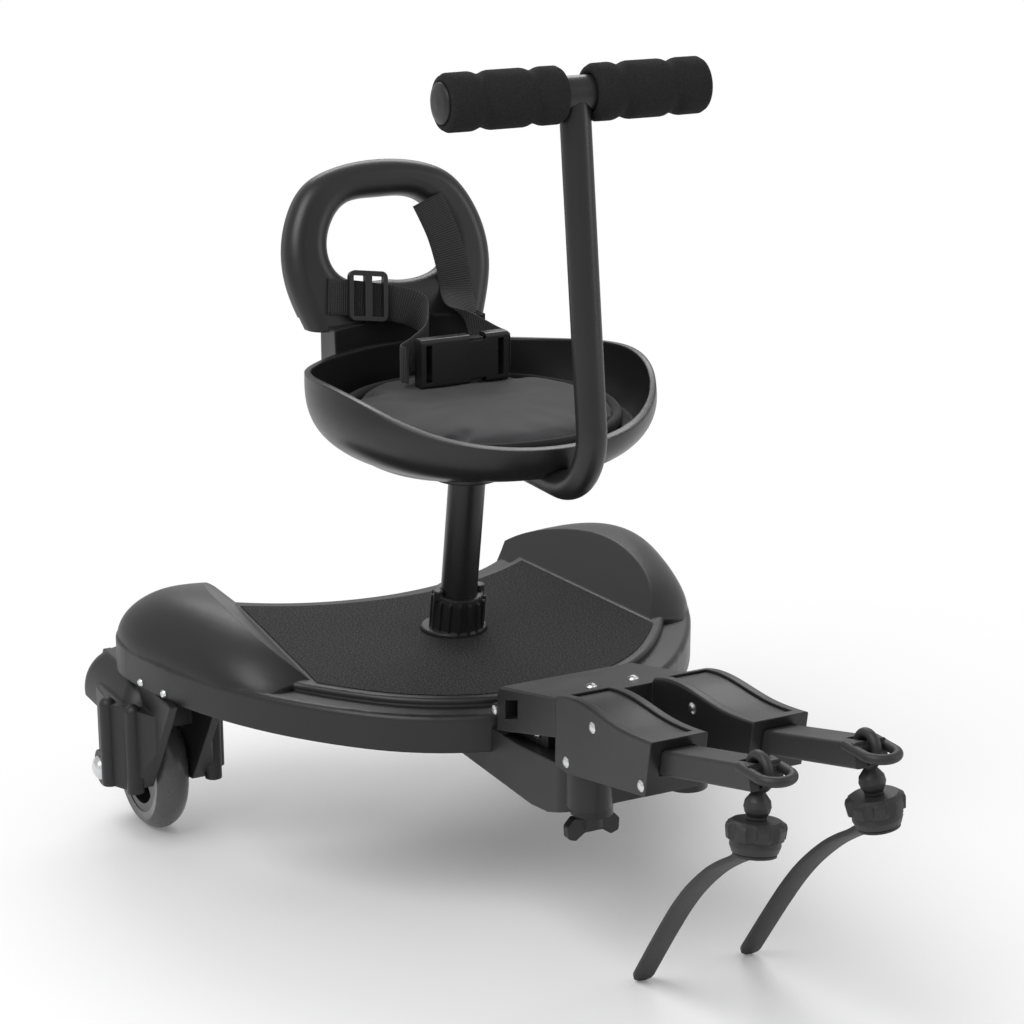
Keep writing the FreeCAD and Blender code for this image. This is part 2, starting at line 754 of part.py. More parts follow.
def fork_leg():
    """One leg: a plate beside the wheel, an axle boss, and a flared outer wall with two upright ribs."""
    low, high = wheel_width / 2 + fork_gap, wheel_width / 2 + fork_gap + fork_plate
    top = deck_top - skirt_depth - wheel_radius
    front = arc(V(low, fork_front, top), V(low, -68, 31), V(low, -43, -3))
    foot = arc(V(low, -12, -8), V(low, 0, -14), V(low, 14, 0))
    edges = [front, line(V(low, -43, -3), V(low, -12, -8)), foot]
    corners = [V(low, 14, 0), V(low, 14, 28), V(low, fork_back, 42), V(low, fork_back - 2, 52), V(low, fork_back - 18, top)]
    edges += [line(a, b) for a, b in zip(corners, corners[1:])]
    edges.append(line(corners[-1], V(low, fork_front, top)))
    plate = Part.Face(Part.Wire(edges)).extrude(V(high - low, 0, 0))
    flare_plan = [(low, -76), (low + 3, -72), (fork_flare - 12, -46), (fork_flare, fork_flare_y), (fork_flare - 6, -12),
                  (fork_flare - 8, 14), (low, 14)]
    flare = polygon([V(u, y, -3) for u, y in flare_plan]).extrude(V(0, 0, 61))
    flare = rounded(flare, 5.0, lambda edge: edge.BoundBox.ZLength > 50 and edge.BoundBox.XMin > low + 8)
    envelope = Part.Face(Part.Wire(edges)).extrude(V(60, 0, 0))
    flare = flare.common(envelope)
    boss = rod(fork_boss_radius, (low, 0, 0), (fork_boss_reach, 0, 0))
    low_end, shoulder, tip = V(0, 0, -3), V(fork_rib_radius, 0, 56), V(0, 0, 56 + fork_rib_radius)
    bend = V(fork_rib_radius * cos(pi / 4), 0, 56 + fork_rib_radius * sin(pi / 4))
    foot = V(fork_rib_radius, 0, -3)
    outline = [line(low_end, foot), line(foot, shoulder), arc(shoulder, bend, tip), line(tip, low_end)]
    ribs = []
    for u, y in ((fork_flare - 3.5, fork_flare_y - 3), (fork_flare - 14, -47)):
        rib = Part.Face(Part.Wire(outline)).revolve(ORIGIN, Z_AXIS, 360)
        rib.translate(V(u, y, 0))
        ribs.append(rib)
    return fused([plate, flare, boss] + ribs)


def fork_hood():
    top = deck_top - skirt_depth - wheel_radius
    sections = []
    for z, draw in ((40, 0), (54, 1), (66, 6), (top, 16)):
        x, low, high, r = hood_half_width - draw, -46 + draw, fork_back - draw, 14
        pieces = []
        for cx, cy, start in ((x - r, high - r, 0), (-x + r, high - r, 90), (-x + r, low + r, 180), (x - r, low + r, 270)):
            ends = [V(cx + r * cos(radians(start + turn)), cy + r * sin(radians(start + turn)), z) for turn in (0, 45, 90)]
            pieces.append(arc(*ends))
        wire = []
        for number, piece in enumerate(pieces):
            following = pieces[(number + 1) % 4]
            wire += [piece, line(piece.lastVertex().Point, following.firstVertex().Point)]
        sections.append(Part.Wire(wire))
    return Part.makeLoft(sections, True, False)


def make_fork(side):
    fork = fused([fork_leg(), mirrored(fork_leg()), fork_hood()])
    reach = wheel_width / 2 + fork_gap
    fork = fork.cut(rod(wheel_radius + 3.5, (-reach, 0, 0), (reach, 0, 0)))
    fork = fork.cut(rod(axle_radius, (-60, 0, 0), (60, 0, 0)))
    fork.translate(V(wheel_x, wheel_y, wheel_radius))
    low, high = up(-skirt_depth), up(-skirt_depth + rib_lift - 0.3)
    upstand = deck_slab(skirt_wall, low, high).cut(deck_slab(skirt_wall + 7, low - 1, high + 1))
    upstand = upstand.common(box((120, 28, low), (250, 84, high)))
    upstand = upstand.cut([skirt_screw(1, y) for y in fork_screw_y])
    fork = fused([fork, upstand])
    return fork if side > 0 else mirrored(fork)


def make_fork_screws(side):
    return Part.makeCompound([skirt_screw(side, y) for y in fork_screw_y])


def make_axle(side):
    """A bolt through fork and wheel: domed head outside, lock nut inside."""
    reach = fork_boss_reach
    head = [(0, 0), (bolt_head_radius, 0), (bolt_head_radius, 1.6), (bolt_head_radius - 1.4, 3.6),
            (bolt_head_radius / 2, bolt_head_height), (0, bolt_head_height + 0.2)]
    bolt = rod(axle_radius, (-reach - 7, 0, 0), (reach, 0, 0)).fuse(turned(head, (reach, 0, 0), (1, 0, 0)))
    nut = polygon([V(-reach, 7.5 * cos(radians(60 * n)), 7.5 * sin(radians(60 * n))) for n in range(6)])
    bolt = bolt.fuse(nut.extrude(V(-6, 0, 0)))
    bolt.translate(V(wheel_x, wheel_y, wheel_radius))
    return bolt if side > 0 else mirrored(bolt)


# Front bracket and hinge block: side profiles are (place along Y, height above the standing surface)

bracket_top = ((-90.0, -30.0), (-146.0, -30.0), (-146.0, -14.5), (-186.0, -12.4), (-236.0, -6.6), (-250.0, -5.5))
bracket_bottom = ((-250.0, -35.0), (-226.0, -43.0), (-205.0, -46.0), (-90.0, -46.0))
bracket_half = 48.0
boss_radius = 14.0
boss_low = -30.0
boss_top = -3.6
wing_y = -197.0
wing_boss_low = -63.5
block_profile = ((-160.0, -11.5), (-160.5, 12.0), (-163.5, 19.3), (-245.0, 38.1), (-245.0, 13.0))
riser_back = -170.0
riser_front = -206.0
riser_half = 37.0
socket_hole = ((-170.3, -0.5), (-188.0, 5.6), (-188.0, 18.4), (-170.3, 12.4))
socket_hole_depth = 12.0
swing_y = -255.0
swing_clear = 22.0
wing_screw_radius = 4.0


def side_prism(profile, low, high):
    """An outline in the YZ plane made solid from x = low to x = high."""
    return polygon([V(low, y, up(z)) for y, z in profile]).extrude(V(high - low, 0, 0))


def swing_axis(side, low, high):
    return (side * arm_x, swing_y, up(low)), (side * arm_x, swing_y, up(high))


def make_bracket():
    bracket = side_prism(bracket_top + bracket_bottom, -bracket_half, bracket_half)
    bracket = rounded(bracket, 13.0, lambda edge: edge.BoundBox.ZLength > 25 and edge.BoundBox.YLength < 0.01 and
                      edge.BoundBox.YMax < -249)
    bracket = bracket.cut(deck_slab(0, up(-skirt_depth), up(10)))
    bosses = [rod(boss_radius, *swing_axis(side, boss_low, boss_top)) for side in (-1, 1)]
    bosses.append(rod(boss_radius, (0, wing_y, up(wing_boss_low)), (0, wing_y, up(-40))))
    pockets = [box((side * 24 - 20, -204, up(-60)), (side * 24 + 20, -132, up(-20))) for side in (-1, 1)]
    bracket = fused([bracket.cut(pockets)] + bosses)
    holes = [rod(wing_screw_radius, *swing_axis(side, -60, 10)) for side in (-1, 1)]
    holes.append(rod(wing_screw_radius + running, (0, wing_y, up(-70)), (0, wing_y, up(-36))))
    return bracket.cut(holes + [bracket_screw(side) for side in (-1, 1)])


def bracket_screw(side):
    foot = (side * bracket_screw_x, bracket_screw_y)
    shank = rod(bracket_screw_radius, (*foot, up(-44)), (*foot, up(-skirt_depth + 14)))
    return shank.fuse(rod(5.0, (*foot, up(-46)), (*foot, up(-42.5))))


def make_block():
    block = side_prism(block_profile, -block_half_width, block_half_width)
    block = rounded(block, 2.0, lambda edge: edge.BoundBox.ZMin > up(15) and edge.BoundBox.XLength < 0.01)
    riser = side_prism(((riser_back, -20), (riser_front, -20), (riser_front, 10), (riser_back, 10)),
                       -riser_half, riser_half)
    block = block.fuse(riser.cut(side_prism(bracket_top + bracket_bottom, -bracket_half, bracket_half)))
    ear = rod(4.5, (-block_half_width, -157, up(1.5)), (-block_half_width + 8, -157, up(1.5)))
    block = block.fuse([ear, mirrored(ear)])
    for side in (-1, 1):
        block = block.cut(rod(swing_clear, *swing_axis(side, -60, 60)))
        hole = side_prism(socket_hole, block_half_width - socket_hole_depth, block_half_width + 1)
        block = block.cut(hole if side > 0 else mirrored(hole))
        block = block.cut([top_screw(side), ear_screw(side), gap_screw(side)])
    return block.cut(deck_slab(0, up(-skirt_depth), up(0)))


def top_screw(side):
    at, way = V(side * 15, -222, up(32.8)), V(0, -sin(radians(13)), cos(radians(13)))
    return turned([(0, -8), (1.8, -8), (1.8, -0.5), (3.6, -0.5), (3.6, 0.5), (2, 1.8), (0, 2.2)], at, way)


def ear_screw(side):
    at = V(side * block_half_width, -157, up(1.5))
    return turned([(0, -6), (1.5, -6), (1.5, -0.4), (3.2, -0.4), (3.2, 0.6), (1.8, 1.7), (0, 2)], at, V(side, 0, 0))


def gap_screw(side):
    at = V(side * riser_half, -193, up(-4))
    return turned([(0, -6), (1.5, -6), (1.5, 0), (3.4, 0), (3.4, 1.2), (2, 2.2), (0, 2.5)], at, V(side, 0, 0))


def make_block_screws():
    return Part.makeCompound([screw(side) for screw in (top_screw, ear_screw, gap_screw) for side in (-1, 1)])


# Arm: a housing with a rocking lever on top and a bar that slides in it; made at x = 0, then moved

housing_top = ((-246.0, 41.5), (-258.0, 45.0), (-275.0, 47.3), (-300.0, 47.2), (-324.0, 47.0), (-342.0, 48.6), (-359.0, 51.1))
housing_rear = -246.0
housing_bottom = ((-262.0, -3.2), (-353.5, 15.8))
bar_tilt = 14.7
bar_middle = (-357.0, 36.3)
bar_back = -288.0
bar_front = -449.0
slot_floor = ((-253.5, 27.0), (-283.0, 27.0), (-300.0, 33.0), (-351.0, 44.6))
lever_under = ((-255.5, 34.0), (-284.0, 33.5), (-297.0, 33.6), (-349.5, 45.6))
lever_drop = 1.6
lever_pin = (-292.0, 37.0)
lever_pin_radius = 2.4
lever_slot = 26.8


def top_curve(x, low, high, drop):
    """The stretch of the housing's top line between two places along Y."""
    curve = Part.BSplineCurve()
    curve.interpolate([V(x, y, up(z - drop)) for y, z in housing_top])
    ends = sorted(curve.parameter(point) for point in (
        curve.value(curve.parameter(V(x, low, up(47 - drop)))), curve.value(curve.parameter(V(x, high, up(47 - drop))))))
    return curve.toShape(*ends)


def profiled(top, lower, low, high):
    """A solid under a top edge: lower holds the (Y, height) corners from the top's front end to its rear end."""
    first, last = top.Vertexes[0].Point, top.Vertexes[-1].Point
    corners = [last] + [V(low, y, up(z)) for y, z in lower] + [first]
    edges = [top] + [line(a, b) for a, b in zip(corners, corners[1:])]
    return Part.Face(Part.Wire(edges)).extrude(V(high - low, 0, 0))


def bar_block(grow, back, front):
    """The bar's outline as a box along its tilted line, from one place along Y to another."""
    lean = radians(bar_tilt)
    solid = box((-bar_width / 2 - grow, 0, -bar_height / 2 - grow),
                (bar_width / 2 + grow, (back - front) / cos(lean), bar_height / 2 + grow))
    solid.rotate(ORIGIN, X_AXIS, -bar_tilt)
    rise = (bar_middle[0] - front) * tan(lean)
    solid.translate(V(0, front, up(bar_middle[1] + rise)))
    return solid


def arm_pin(y, z, low, high, radius):
    shank = rod(radius, (low, y, up(z)), (high, y, up(z)))
    heads = []
    for x, way in ((low, -1), (high, 1)):
        heads.append(turned([(0, -0.6), (pin_radius, -0.6), (pin_radius, 0.4), (2, 1.5), (0, 1.9)], (x, y, up(z)), (way, 0, 0)))
    return fused([shank] + heads)


def make_arm_pins(side):
    half = arm_width / 2
    pins = [arm_pin(*lever_pin, -half, half, lever_pin_radius)]
    for y, z in ((-260.0, 3.6), (-349.0, 21.0)):
        pins.append(arm_pin(y, z, half - 6, half, 1.8).cut(box((half - 12, -900, 0), (half - 6, 0, 900))))
    return Part.makeCompound([arm_placed(pin, side) for pin in pins])


def arm_placed(shape, side):
    shape = shape.copy()
    shape.translate(V(arm_x, 0, 0))
    return shape if side > 0 else mirrored(shape)


def make_housing(side):
    half = arm_width / 2
    top = spline([V(-half, y, up(z)) for y, z in housing_top])
    rear = [(-353.5, 15.8), (-262.0, boss_top + 0.3), (housing_rear, boss_top + 0.3)]
    housing = profiled(top, rear, -half, half)
    housing = rounded(housing, 1.5, lambda edge: edge.BoundBox.XLength < 0.01 and edge.BoundBox.ZMin > up(40))
    slot_top = [(-351.0, 90.0), (-253.5, 90.0)]
    slot = side_prism(slot_floor + tuple(slot_top), -lever_slot / 2, lever_slot / 2)
    housing = housing.cut([slot, bar_block(0.2, bar_back + 2, -380)])
    housing = housing.cut(rod(wing_screw_radius + running, (0, swing_y, up(-10)), (0, swing_y, up(14))))
    return arm_placed(housing, side).cut(make_arm_pins(side))


def make_lever(side):
    wide = lever_width / 2
    blank = spline([V(-wide, y, up(z - lever_drop)) for y, z in housing_top])
    under = [(-359.0, -10.0), (-246.0, -10.0)]
    lever = profiled(blank, under, -wide, wide)
    mask = side_prism(lever_under + ((-349.5, 90.0), (-255.5, 90.0)), -wide, wide)
    boss = rod(5.5, (-wide, lever_pin[0], up(lever_pin[1])), (wide, lever_pin[0], up(lever_pin[1])))
    lever = lever.common(mask).fuse(boss)
    lever = lever.cut(rod(lever_pin_radius + running, (-30, lever_pin[0], up(lever_pin[1])), (30, lever_pin[0], up(lever_pin[1]))))
    return arm_placed(lever, side)


def make_bar(side):
    bar = bar_block(0, bar_back, bar_front)
    bar = rounded(bar, 2.0, lambda edge: edge.BoundBox.YLength > 100)
    bar = bar.cut(box((-4 - ring_shift, -470, up(0)), (4 - ring_shift, slot_end, up(100))))
    return arm_placed(bar, side).cut(loop_solid(side))


# Strap clamps: a loop on the bar, a ring that hangs on the loop's cross pin, ball neck, knob, cup and strap

ring_shift = -1.0
slot_end = -428.0
loop_wire = 3.0
loop_half = 10.0
loop_height = 63.5
cross_pin_y = -445.5
loop_back = -438.0
loop_bend = -457.0
ring_at = (-444.0, 61.3)
ring_mean = 9.0
ring_wire = 3.0
column_foot = (41.6, -450.5, 12.5)
column_x = 35.5


def loop_solid(side):
    z = up(loop_height)
    solids = []
    for x in (-loop_half, loop_half):
        solids.append(rod(loop_wire, (x, loop_back, z), (x, loop_bend, z)))
    bend = Part.makeTorus(loop_half, loop_wire, V(0, loop_bend, z), Z_AXIS, 0, 360, 180)
    bend = bend.cut(box((-50, loop_bend, z - 20), (50, loop_bend + 50, z + 20)))
    if bend.Volume < 1:
        bend = Part.makeTorus(loop_half, loop_wire, V(0, loop_bend, z), Z_AXIS)
        bend = bend.cut(box((-50, loop_bend, z - 20), (50, loop_bend + 50, z + 20)))
    solids += [bend, rod(loop_wire, (-loop_half, cross_pin_y, z), (loop_half, cross_pin_y, z))]
    return arm_placed(fused(solids), side)


def column_way():
    top = V(column_x, ring_at[0], up(ring_at[1]))
    return way_from(top, V(*column_foot[:2], up(column_foot[2])))


def column_point(side, down):
    """A place on the clamp's leaning centre line, down from the middle of its ring."""
    at = V(column_x, ring_at[0], up(ring_at[1])) + column_way() * down
    return V(side * at.x, at.y, at.z)


def on_column(profile, down, side):
    """A turned piece on the column: profile heights grow downward."""
    way = column_way()
    return turned(profile, column_point(side, down), V(side * way.x, way.y, way.z))


def make_ring(side):
    ring = Part.makeTorus(ring_mean, ring_wire, V(side * column_x, ring_at[0], up(ring_at[1])), X_AXIS)
    neck = on_column([(0, 0), (3.2, 0), (4.6, 2.0), (7.2, 5.5), (7.8, 9.0), (7.0, 12.0), (5.5, 14.5), (5.5, 16.0),
                      (4.0, 16.0), (4.0, 34.0), (0, 34.0)], ring_mean + 1.5, side)
    return ring.fuse(neck).cut(rod(ring_mean - ring_wire, (-99, *ring_spot()), (99, *ring_spot())))


def ring_spot():
    return ring_at[0], up(ring_at[1])


def make_knob(side):
    start = 26.8
    knob = on_column([(4.0 + running, 0), (13.5, 0), (16.6, 2.0), (17.2, 4.0), (16.4, 10.2), (4.0 + running, 10.2)], start, side)
    way = column_way()
    grooves = []
    for number in range(knob_lobes):
        groove = rod(4.2, (19.0, 0, -2), (19.0, 0, 20))
        groove.rotate(ORIGIN, Z_AXIS, 360.0 * number / knob_lobes)
        groove.Placement = FreeCAD.Placement(column_point(side, start), FreeCAD.Rotation(Z_AXIS, V(side * way.x, way.y, way.z))).multiply(groove.Placement)
        grooves.append(groove)
    return knob.cut(grooves)


def make_cup(side):
    start = 37.3
    return on_column([(4.0 + running, 0), (14.2, 0), (14.4, 3.6), (13.0, 7.4), (4.0 + running, 7.4)], start, side)


strap_curve = ((0, 15.0), (8, 13.0), (16, 8.6), (26, 2.0), (42, -7.5), (61, -20.0), (82, -36.0), (102, -53.0),
               (122, -72.5), (141, -93.0), (158, -112.0), (176, -132.5), (194.5, -153.7))
strap_direction = 12.3


def make_strap(side):
    turn = radians(strap_direction)
    start = column_point(side, 46) - V(side * strap_aside, 0, 0)
    ahead, across = V(sin(turn), cos(turn), 0), V(cos(turn), -sin(turn), 0)
    path = []
    for reach, height in strap_curve:
        path.append(V(start.x, start.y, 0) + ahead * reach + V(0, 0, up(height)))
    upper, lower = [], []
    for number, place in enumerate(path):
        way = way_from(path[max(number - 1, 0)], path[min(number + 1, len(path) - 1)])
        rise = across.cross(way).normalize() * (strap_thickness / 2)
        upper.append(place + rise - across * (strap_width / 2))
        lower.append(place - rise - across * (strap_width / 2))
    edges = [spline(upper), line(upper[-1], lower[-1]), spline(list(reversed(lower))), line(lower[0], upper[0])]
    strap = Part.Face(Part.Wire(edges)).extrude(across * strap_width)
    strap = strap.fuse(on_column([(4.0 + running, 0), (12.4, 0), (12.4, 2.4), (0, 2.4), (0, 0.3), (4.0 + running, 0.3)], 44.7, side))
    return strap.cut(make_cup(side))


def make_wing_knob():
    """A butterfly nut's shape moulded round a screw, under the middle of the front bracket."""
    top = wing_boss_low - 0.3
    hub = rod(7.5, (0, wing_y, up(top - 9)), (0, wing_y, up(top)))
    plan = [(-18.5, -14.5), (-19.0, -6.5), (-14.0, -1.0), (-8.0, -2.5), (0, -0.5), (8.0, -2.5), (14.0, -1.0),
            (19.0, -6.5), (18.5, -14.5), (13.0, -16.5), (6.5, -12.0), (-6.5, -12.0), (-13.0, -16.5)]
    wing = polygon([V(x, wing_y - 3, up(top + z)) for x, z in plan]).extrude(V(0, 6, 0))
    wing = rounded(wing, 2.2, lambda edge: edge.BoundBox.YLength > 5.9)
    screw = rod(wing_screw_radius, (0, wing_y, up(top - 3)), (0, wing_y, up(-37)))
    return fused([hub, wing, screw])


def make_pivot_pins():
    """A pin through each arm's rear end, held in the bracket."""
    return Part.makeCompound([rod(wing_screw_radius, *swing_axis(side, boss_low + 3, 13)) for side in (-1, 1)])


# Every piece by name, in the order they are put together

pieces = {
    "deck": make_deck(),
    "deck_mat": make_mat(),
    "post_socket": make_socket(),
    "front_bracket": make_bracket(),
    "bracket_screws": Part.makeCompound([bracket_screw(side) for side in (-1, 1)]),
    "pivot_pins": make_pivot_pins(),
    "wing_knob": make_wing_knob(),
    "hinge_block": make_block(),
    "block_screws": make_block_screws(),
    "seat_post": make_post(),
    "seat_plate": make_post_plate(),
    "seat_shell": make_shell(),
    "seat_pad": make_pad(),
    "backrest": make_backrest(),
    "shoulder_strap": make_shoulder_strap(),
    "cross_strap": make_cross_strap(),
    "tri_glide": make_tri_glide(),
    "buckle_socket": make_buckle_socket(),
    "buckle_plug": make_buckle_plug(),
    "handle_tube": make_handle_tube(),
    "handle_crossbar": make_crossbar(),
    "right_grip": make_grip(),
    "left_grip": mirrored(make_grip()),
    "right_end_plug": make_end_plug(),
    "left_end_plug": mirrored(make_end_plug()),
}
for name, side in (("left", -1), ("right", 1)):
    pieces[name + "_fork"] = make_fork(side)
    pieces[name + "_fork_screws"] = make_fork_screws(side)
    pieces[name + "_axle"] = make_axle(side)
    pieces[name + "_tyre"] = placed_wheel(wheel_tyre(), side)
    pieces[name + "_rim"] = placed_wheel(wheel_rim(), side)
    pieces[name + "_bearings"] = placed_wheel(wheel_bearings(), side)
    pieces[name + "_arm_housing"] = make_housing(side)
    pieces[name + "_arm_pins"] = make_arm_pins(side)
    pieces[name + "_lever"] = make_lever(side)
    pieces[name + "_bar"] = make_bar(side)
    pieces[name + "_loop"] = loop_solid(side)
    pieces[name + "_clamp_ring"] = make_ring(side)
    pieces[name + "_clamp_knob"] = make_knob(side)
    pieces[name + "_clamp_cup"] = make_cup(side)
    pieces[name + "_strap"] = make_strap(side)

# The middle of the footprint becomes the origin

low_y = min(shape.BoundBox.YMin for shape in pieces.values())
high_y = max(shape.BoundBox.YMax for shape in pieces.values())
shift = V(0, -(low_y + high_y) / 2, 0)

os.makedirs("parts", exist_ok=True)
for name, shape in pieces.items():
    shape.translate(shift)
    shape.exportStep("parts/" + name + ".step")
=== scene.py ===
import bpy
from math import atan2, cos, pi, radians, sin, tan
from mathutils import Matrix, Vector, noise
from mathutils.bvhtree import BVHTree


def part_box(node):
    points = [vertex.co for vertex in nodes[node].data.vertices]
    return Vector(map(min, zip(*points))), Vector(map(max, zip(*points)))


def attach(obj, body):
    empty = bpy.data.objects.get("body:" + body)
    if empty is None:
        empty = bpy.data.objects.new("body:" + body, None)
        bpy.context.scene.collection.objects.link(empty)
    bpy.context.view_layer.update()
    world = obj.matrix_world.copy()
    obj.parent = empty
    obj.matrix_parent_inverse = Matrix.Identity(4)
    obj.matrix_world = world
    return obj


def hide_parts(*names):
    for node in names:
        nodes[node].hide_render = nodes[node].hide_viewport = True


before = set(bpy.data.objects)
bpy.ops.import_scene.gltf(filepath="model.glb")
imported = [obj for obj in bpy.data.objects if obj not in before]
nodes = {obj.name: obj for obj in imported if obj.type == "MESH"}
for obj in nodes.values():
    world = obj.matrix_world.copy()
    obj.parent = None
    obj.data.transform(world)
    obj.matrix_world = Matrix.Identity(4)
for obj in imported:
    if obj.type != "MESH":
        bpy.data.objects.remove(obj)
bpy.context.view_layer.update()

# The room: a pale floor and backdrop in one, a big soft lamp above the left shoulder,
# a weaker one from the right, and an even grey light from the room itself.

floor_mesh = bpy.data.meshes.new("floor")
floor_mesh.from_pydata([(-9, -9, 0), (9, -9, 0), (9, 9, 0), (-9, 9, 0)], [], [(0, 1, 2, 3)])
floor = bpy.data.objects.new("floor", floor_mesh)
bpy.context.scene.collection.objects.link(floor)
floor_paint = bpy.data.materials.new("floor_paint")
floor_paint.use_nodes = True
floor_shader = floor_paint.node_tree.nodes["Principled BSDF"]
floor_shader.inputs["Base Color"].default_value = (0.88, 0.88, 0.88, 1)
floor_shader.inputs["Roughness"].default_value = 0.9
floor_shader.inputs["Specular IOR Level"].default_value = 0.1
floor_tree = floor_paint.node_tree
seen = floor_tree.nodes.new("ShaderNodeLightPath")
spot = floor_tree.nodes.new("ShaderNodeTexCoord")
far = floor_tree.nodes.new("ShaderNodeVectorMath")
far.operation = "LENGTH"
floor_tree.links.new(spot.outputs["Object"], far.inputs[0])
fade = floor_tree.nodes.new("ShaderNodeMapRange")
fade.interpolation_type = "SMOOTHSTEP"
fade.inputs["From Min"].default_value = 0.15
fade.inputs["From Max"].default_value = 1.0
floor_tree.links.new(far.outputs["Value"], fade.inputs["Value"])
share = floor_tree.nodes.new("ShaderNodeMath")
share.operation = "MULTIPLY"
floor_tree.links.new(fade.outputs["Result"], share.inputs[0])
floor_tree.links.new(seen.outputs["Is Camera Ray"], share.inputs[1])
white = floor_tree.nodes.new("ShaderNodeEmission")
white.inputs["Color"].default_value = (1, 1, 1, 1)
white.inputs["Strength"].default_value = 1.0
blend = floor_tree.nodes.new("ShaderNodeMixShader")
floor_tree.links.new(share.outputs["Value"], blend.inputs["Fac"])
floor_tree.links.new(floor_shader.outputs["BSDF"], blend.inputs[1])
floor_tree.links.new(white.outputs["Emission"], blend.inputs[2])
floor_tree.links.new(blend.outputs["Shader"], floor_tree.nodes["Material Output"].inputs["Surface"])
floor_mesh.materials.append(floor_paint)

room = bpy.data.worlds.new("room")
room.use_nodes = True
room.node_tree.nodes["Background"].inputs["Color"].default_value = (1.0, 1.0, 1.0, 1)
room.node_tree.nodes["Background"].inputs["Strength"].default_value = 0.62
straight = room.node_tree.nodes.new("ShaderNodeLightPath")
sky = room.node_tree.nodes.new("ShaderNodeBackground")
sky.inputs["Color"].default_value = (1, 1, 1, 1)
sky.inputs["Strength"].default_value = 1.0
either = room.node_tree.nodes.new("ShaderNodeMixShader")
room.node_tree.links.new(straight.outputs["Is Camera Ray"], either.inputs["Fac"])
room.node_tree.links.new(room.node_tree.nodes["Background"].outputs["Background"], either.inputs[1])
room.node_tree.links.new(sky.outputs["Background"], either.inputs[2])
room.node_tree.links.new(either.outputs["Shader"], room.node_tree.nodes["World Output"].inputs["Surface"])
bpy.context.scene.world = room
bpy.context.scene.view_settings.view_transform = "Standard"


def soft_lamp(name, place, aim, width, height, power):
    """A rectangular soft box that looks from a place at an aim."""
    lamp = bpy.data.lights.new(name, "AREA")
    lamp.shape = "RECTANGLE"
    lamp.size = width
    lamp.size_y = height
    lamp.energy = power
    holder = bpy.data.objects.new(name, lamp)
    holder.location = place
    holder.rotation_euler = (Vector(aim) - Vector(place)).to_track_quat("-Z", "Y").to_euler()
    bpy.context.scene.collection.objects.link(holder)


soft_lamp("key_lamp", (-1.3, -0.5, 1.9), (0, 0, 0.25), 1.3, 1.3, 26)
soft_lamp("back_lamp", (0.7, 1.7, 1.7), (0, 0, 0.3), 1.6, 0.8, 18)
soft_lamp("side_lamp", (1.6, -1.1, 1.0), (0, 0, 0.25), 0.7, 1.3, 7)

# The camera: at the photographer's place, found from the board's outline and its round parts,
# with a long lens so that the near and far arms stay almost the same size.

axle_low, axle_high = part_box("left_axle")
board_shift = (axle_low.y + axle_high.y) / 2 - 0.118
camera = bpy.data.cameras.new("camera")
camera.lens = 93.14
camera.sensor_width = 36.0
camera.clip_start = 0.05
camera.clip_end = 60.0
tripod = bpy.data.objects.new("camera", camera)
look = Vector((0.4456, 0.8471, -0.2894))
right = Vector((0.885, -0.4656, 0))
above = Vector((0.1347, 0.2561, 0.9572))
turn = Matrix((right, above, -look)).transposed().to_4x4()
tripod.matrix_world = Matrix.Translation((-0.77764, -1.56554 + board_shift, 0.76812)) @ turn
bpy.context.scene.collection.objects.link(tripod)
bpy.context.scene.camera = tripod
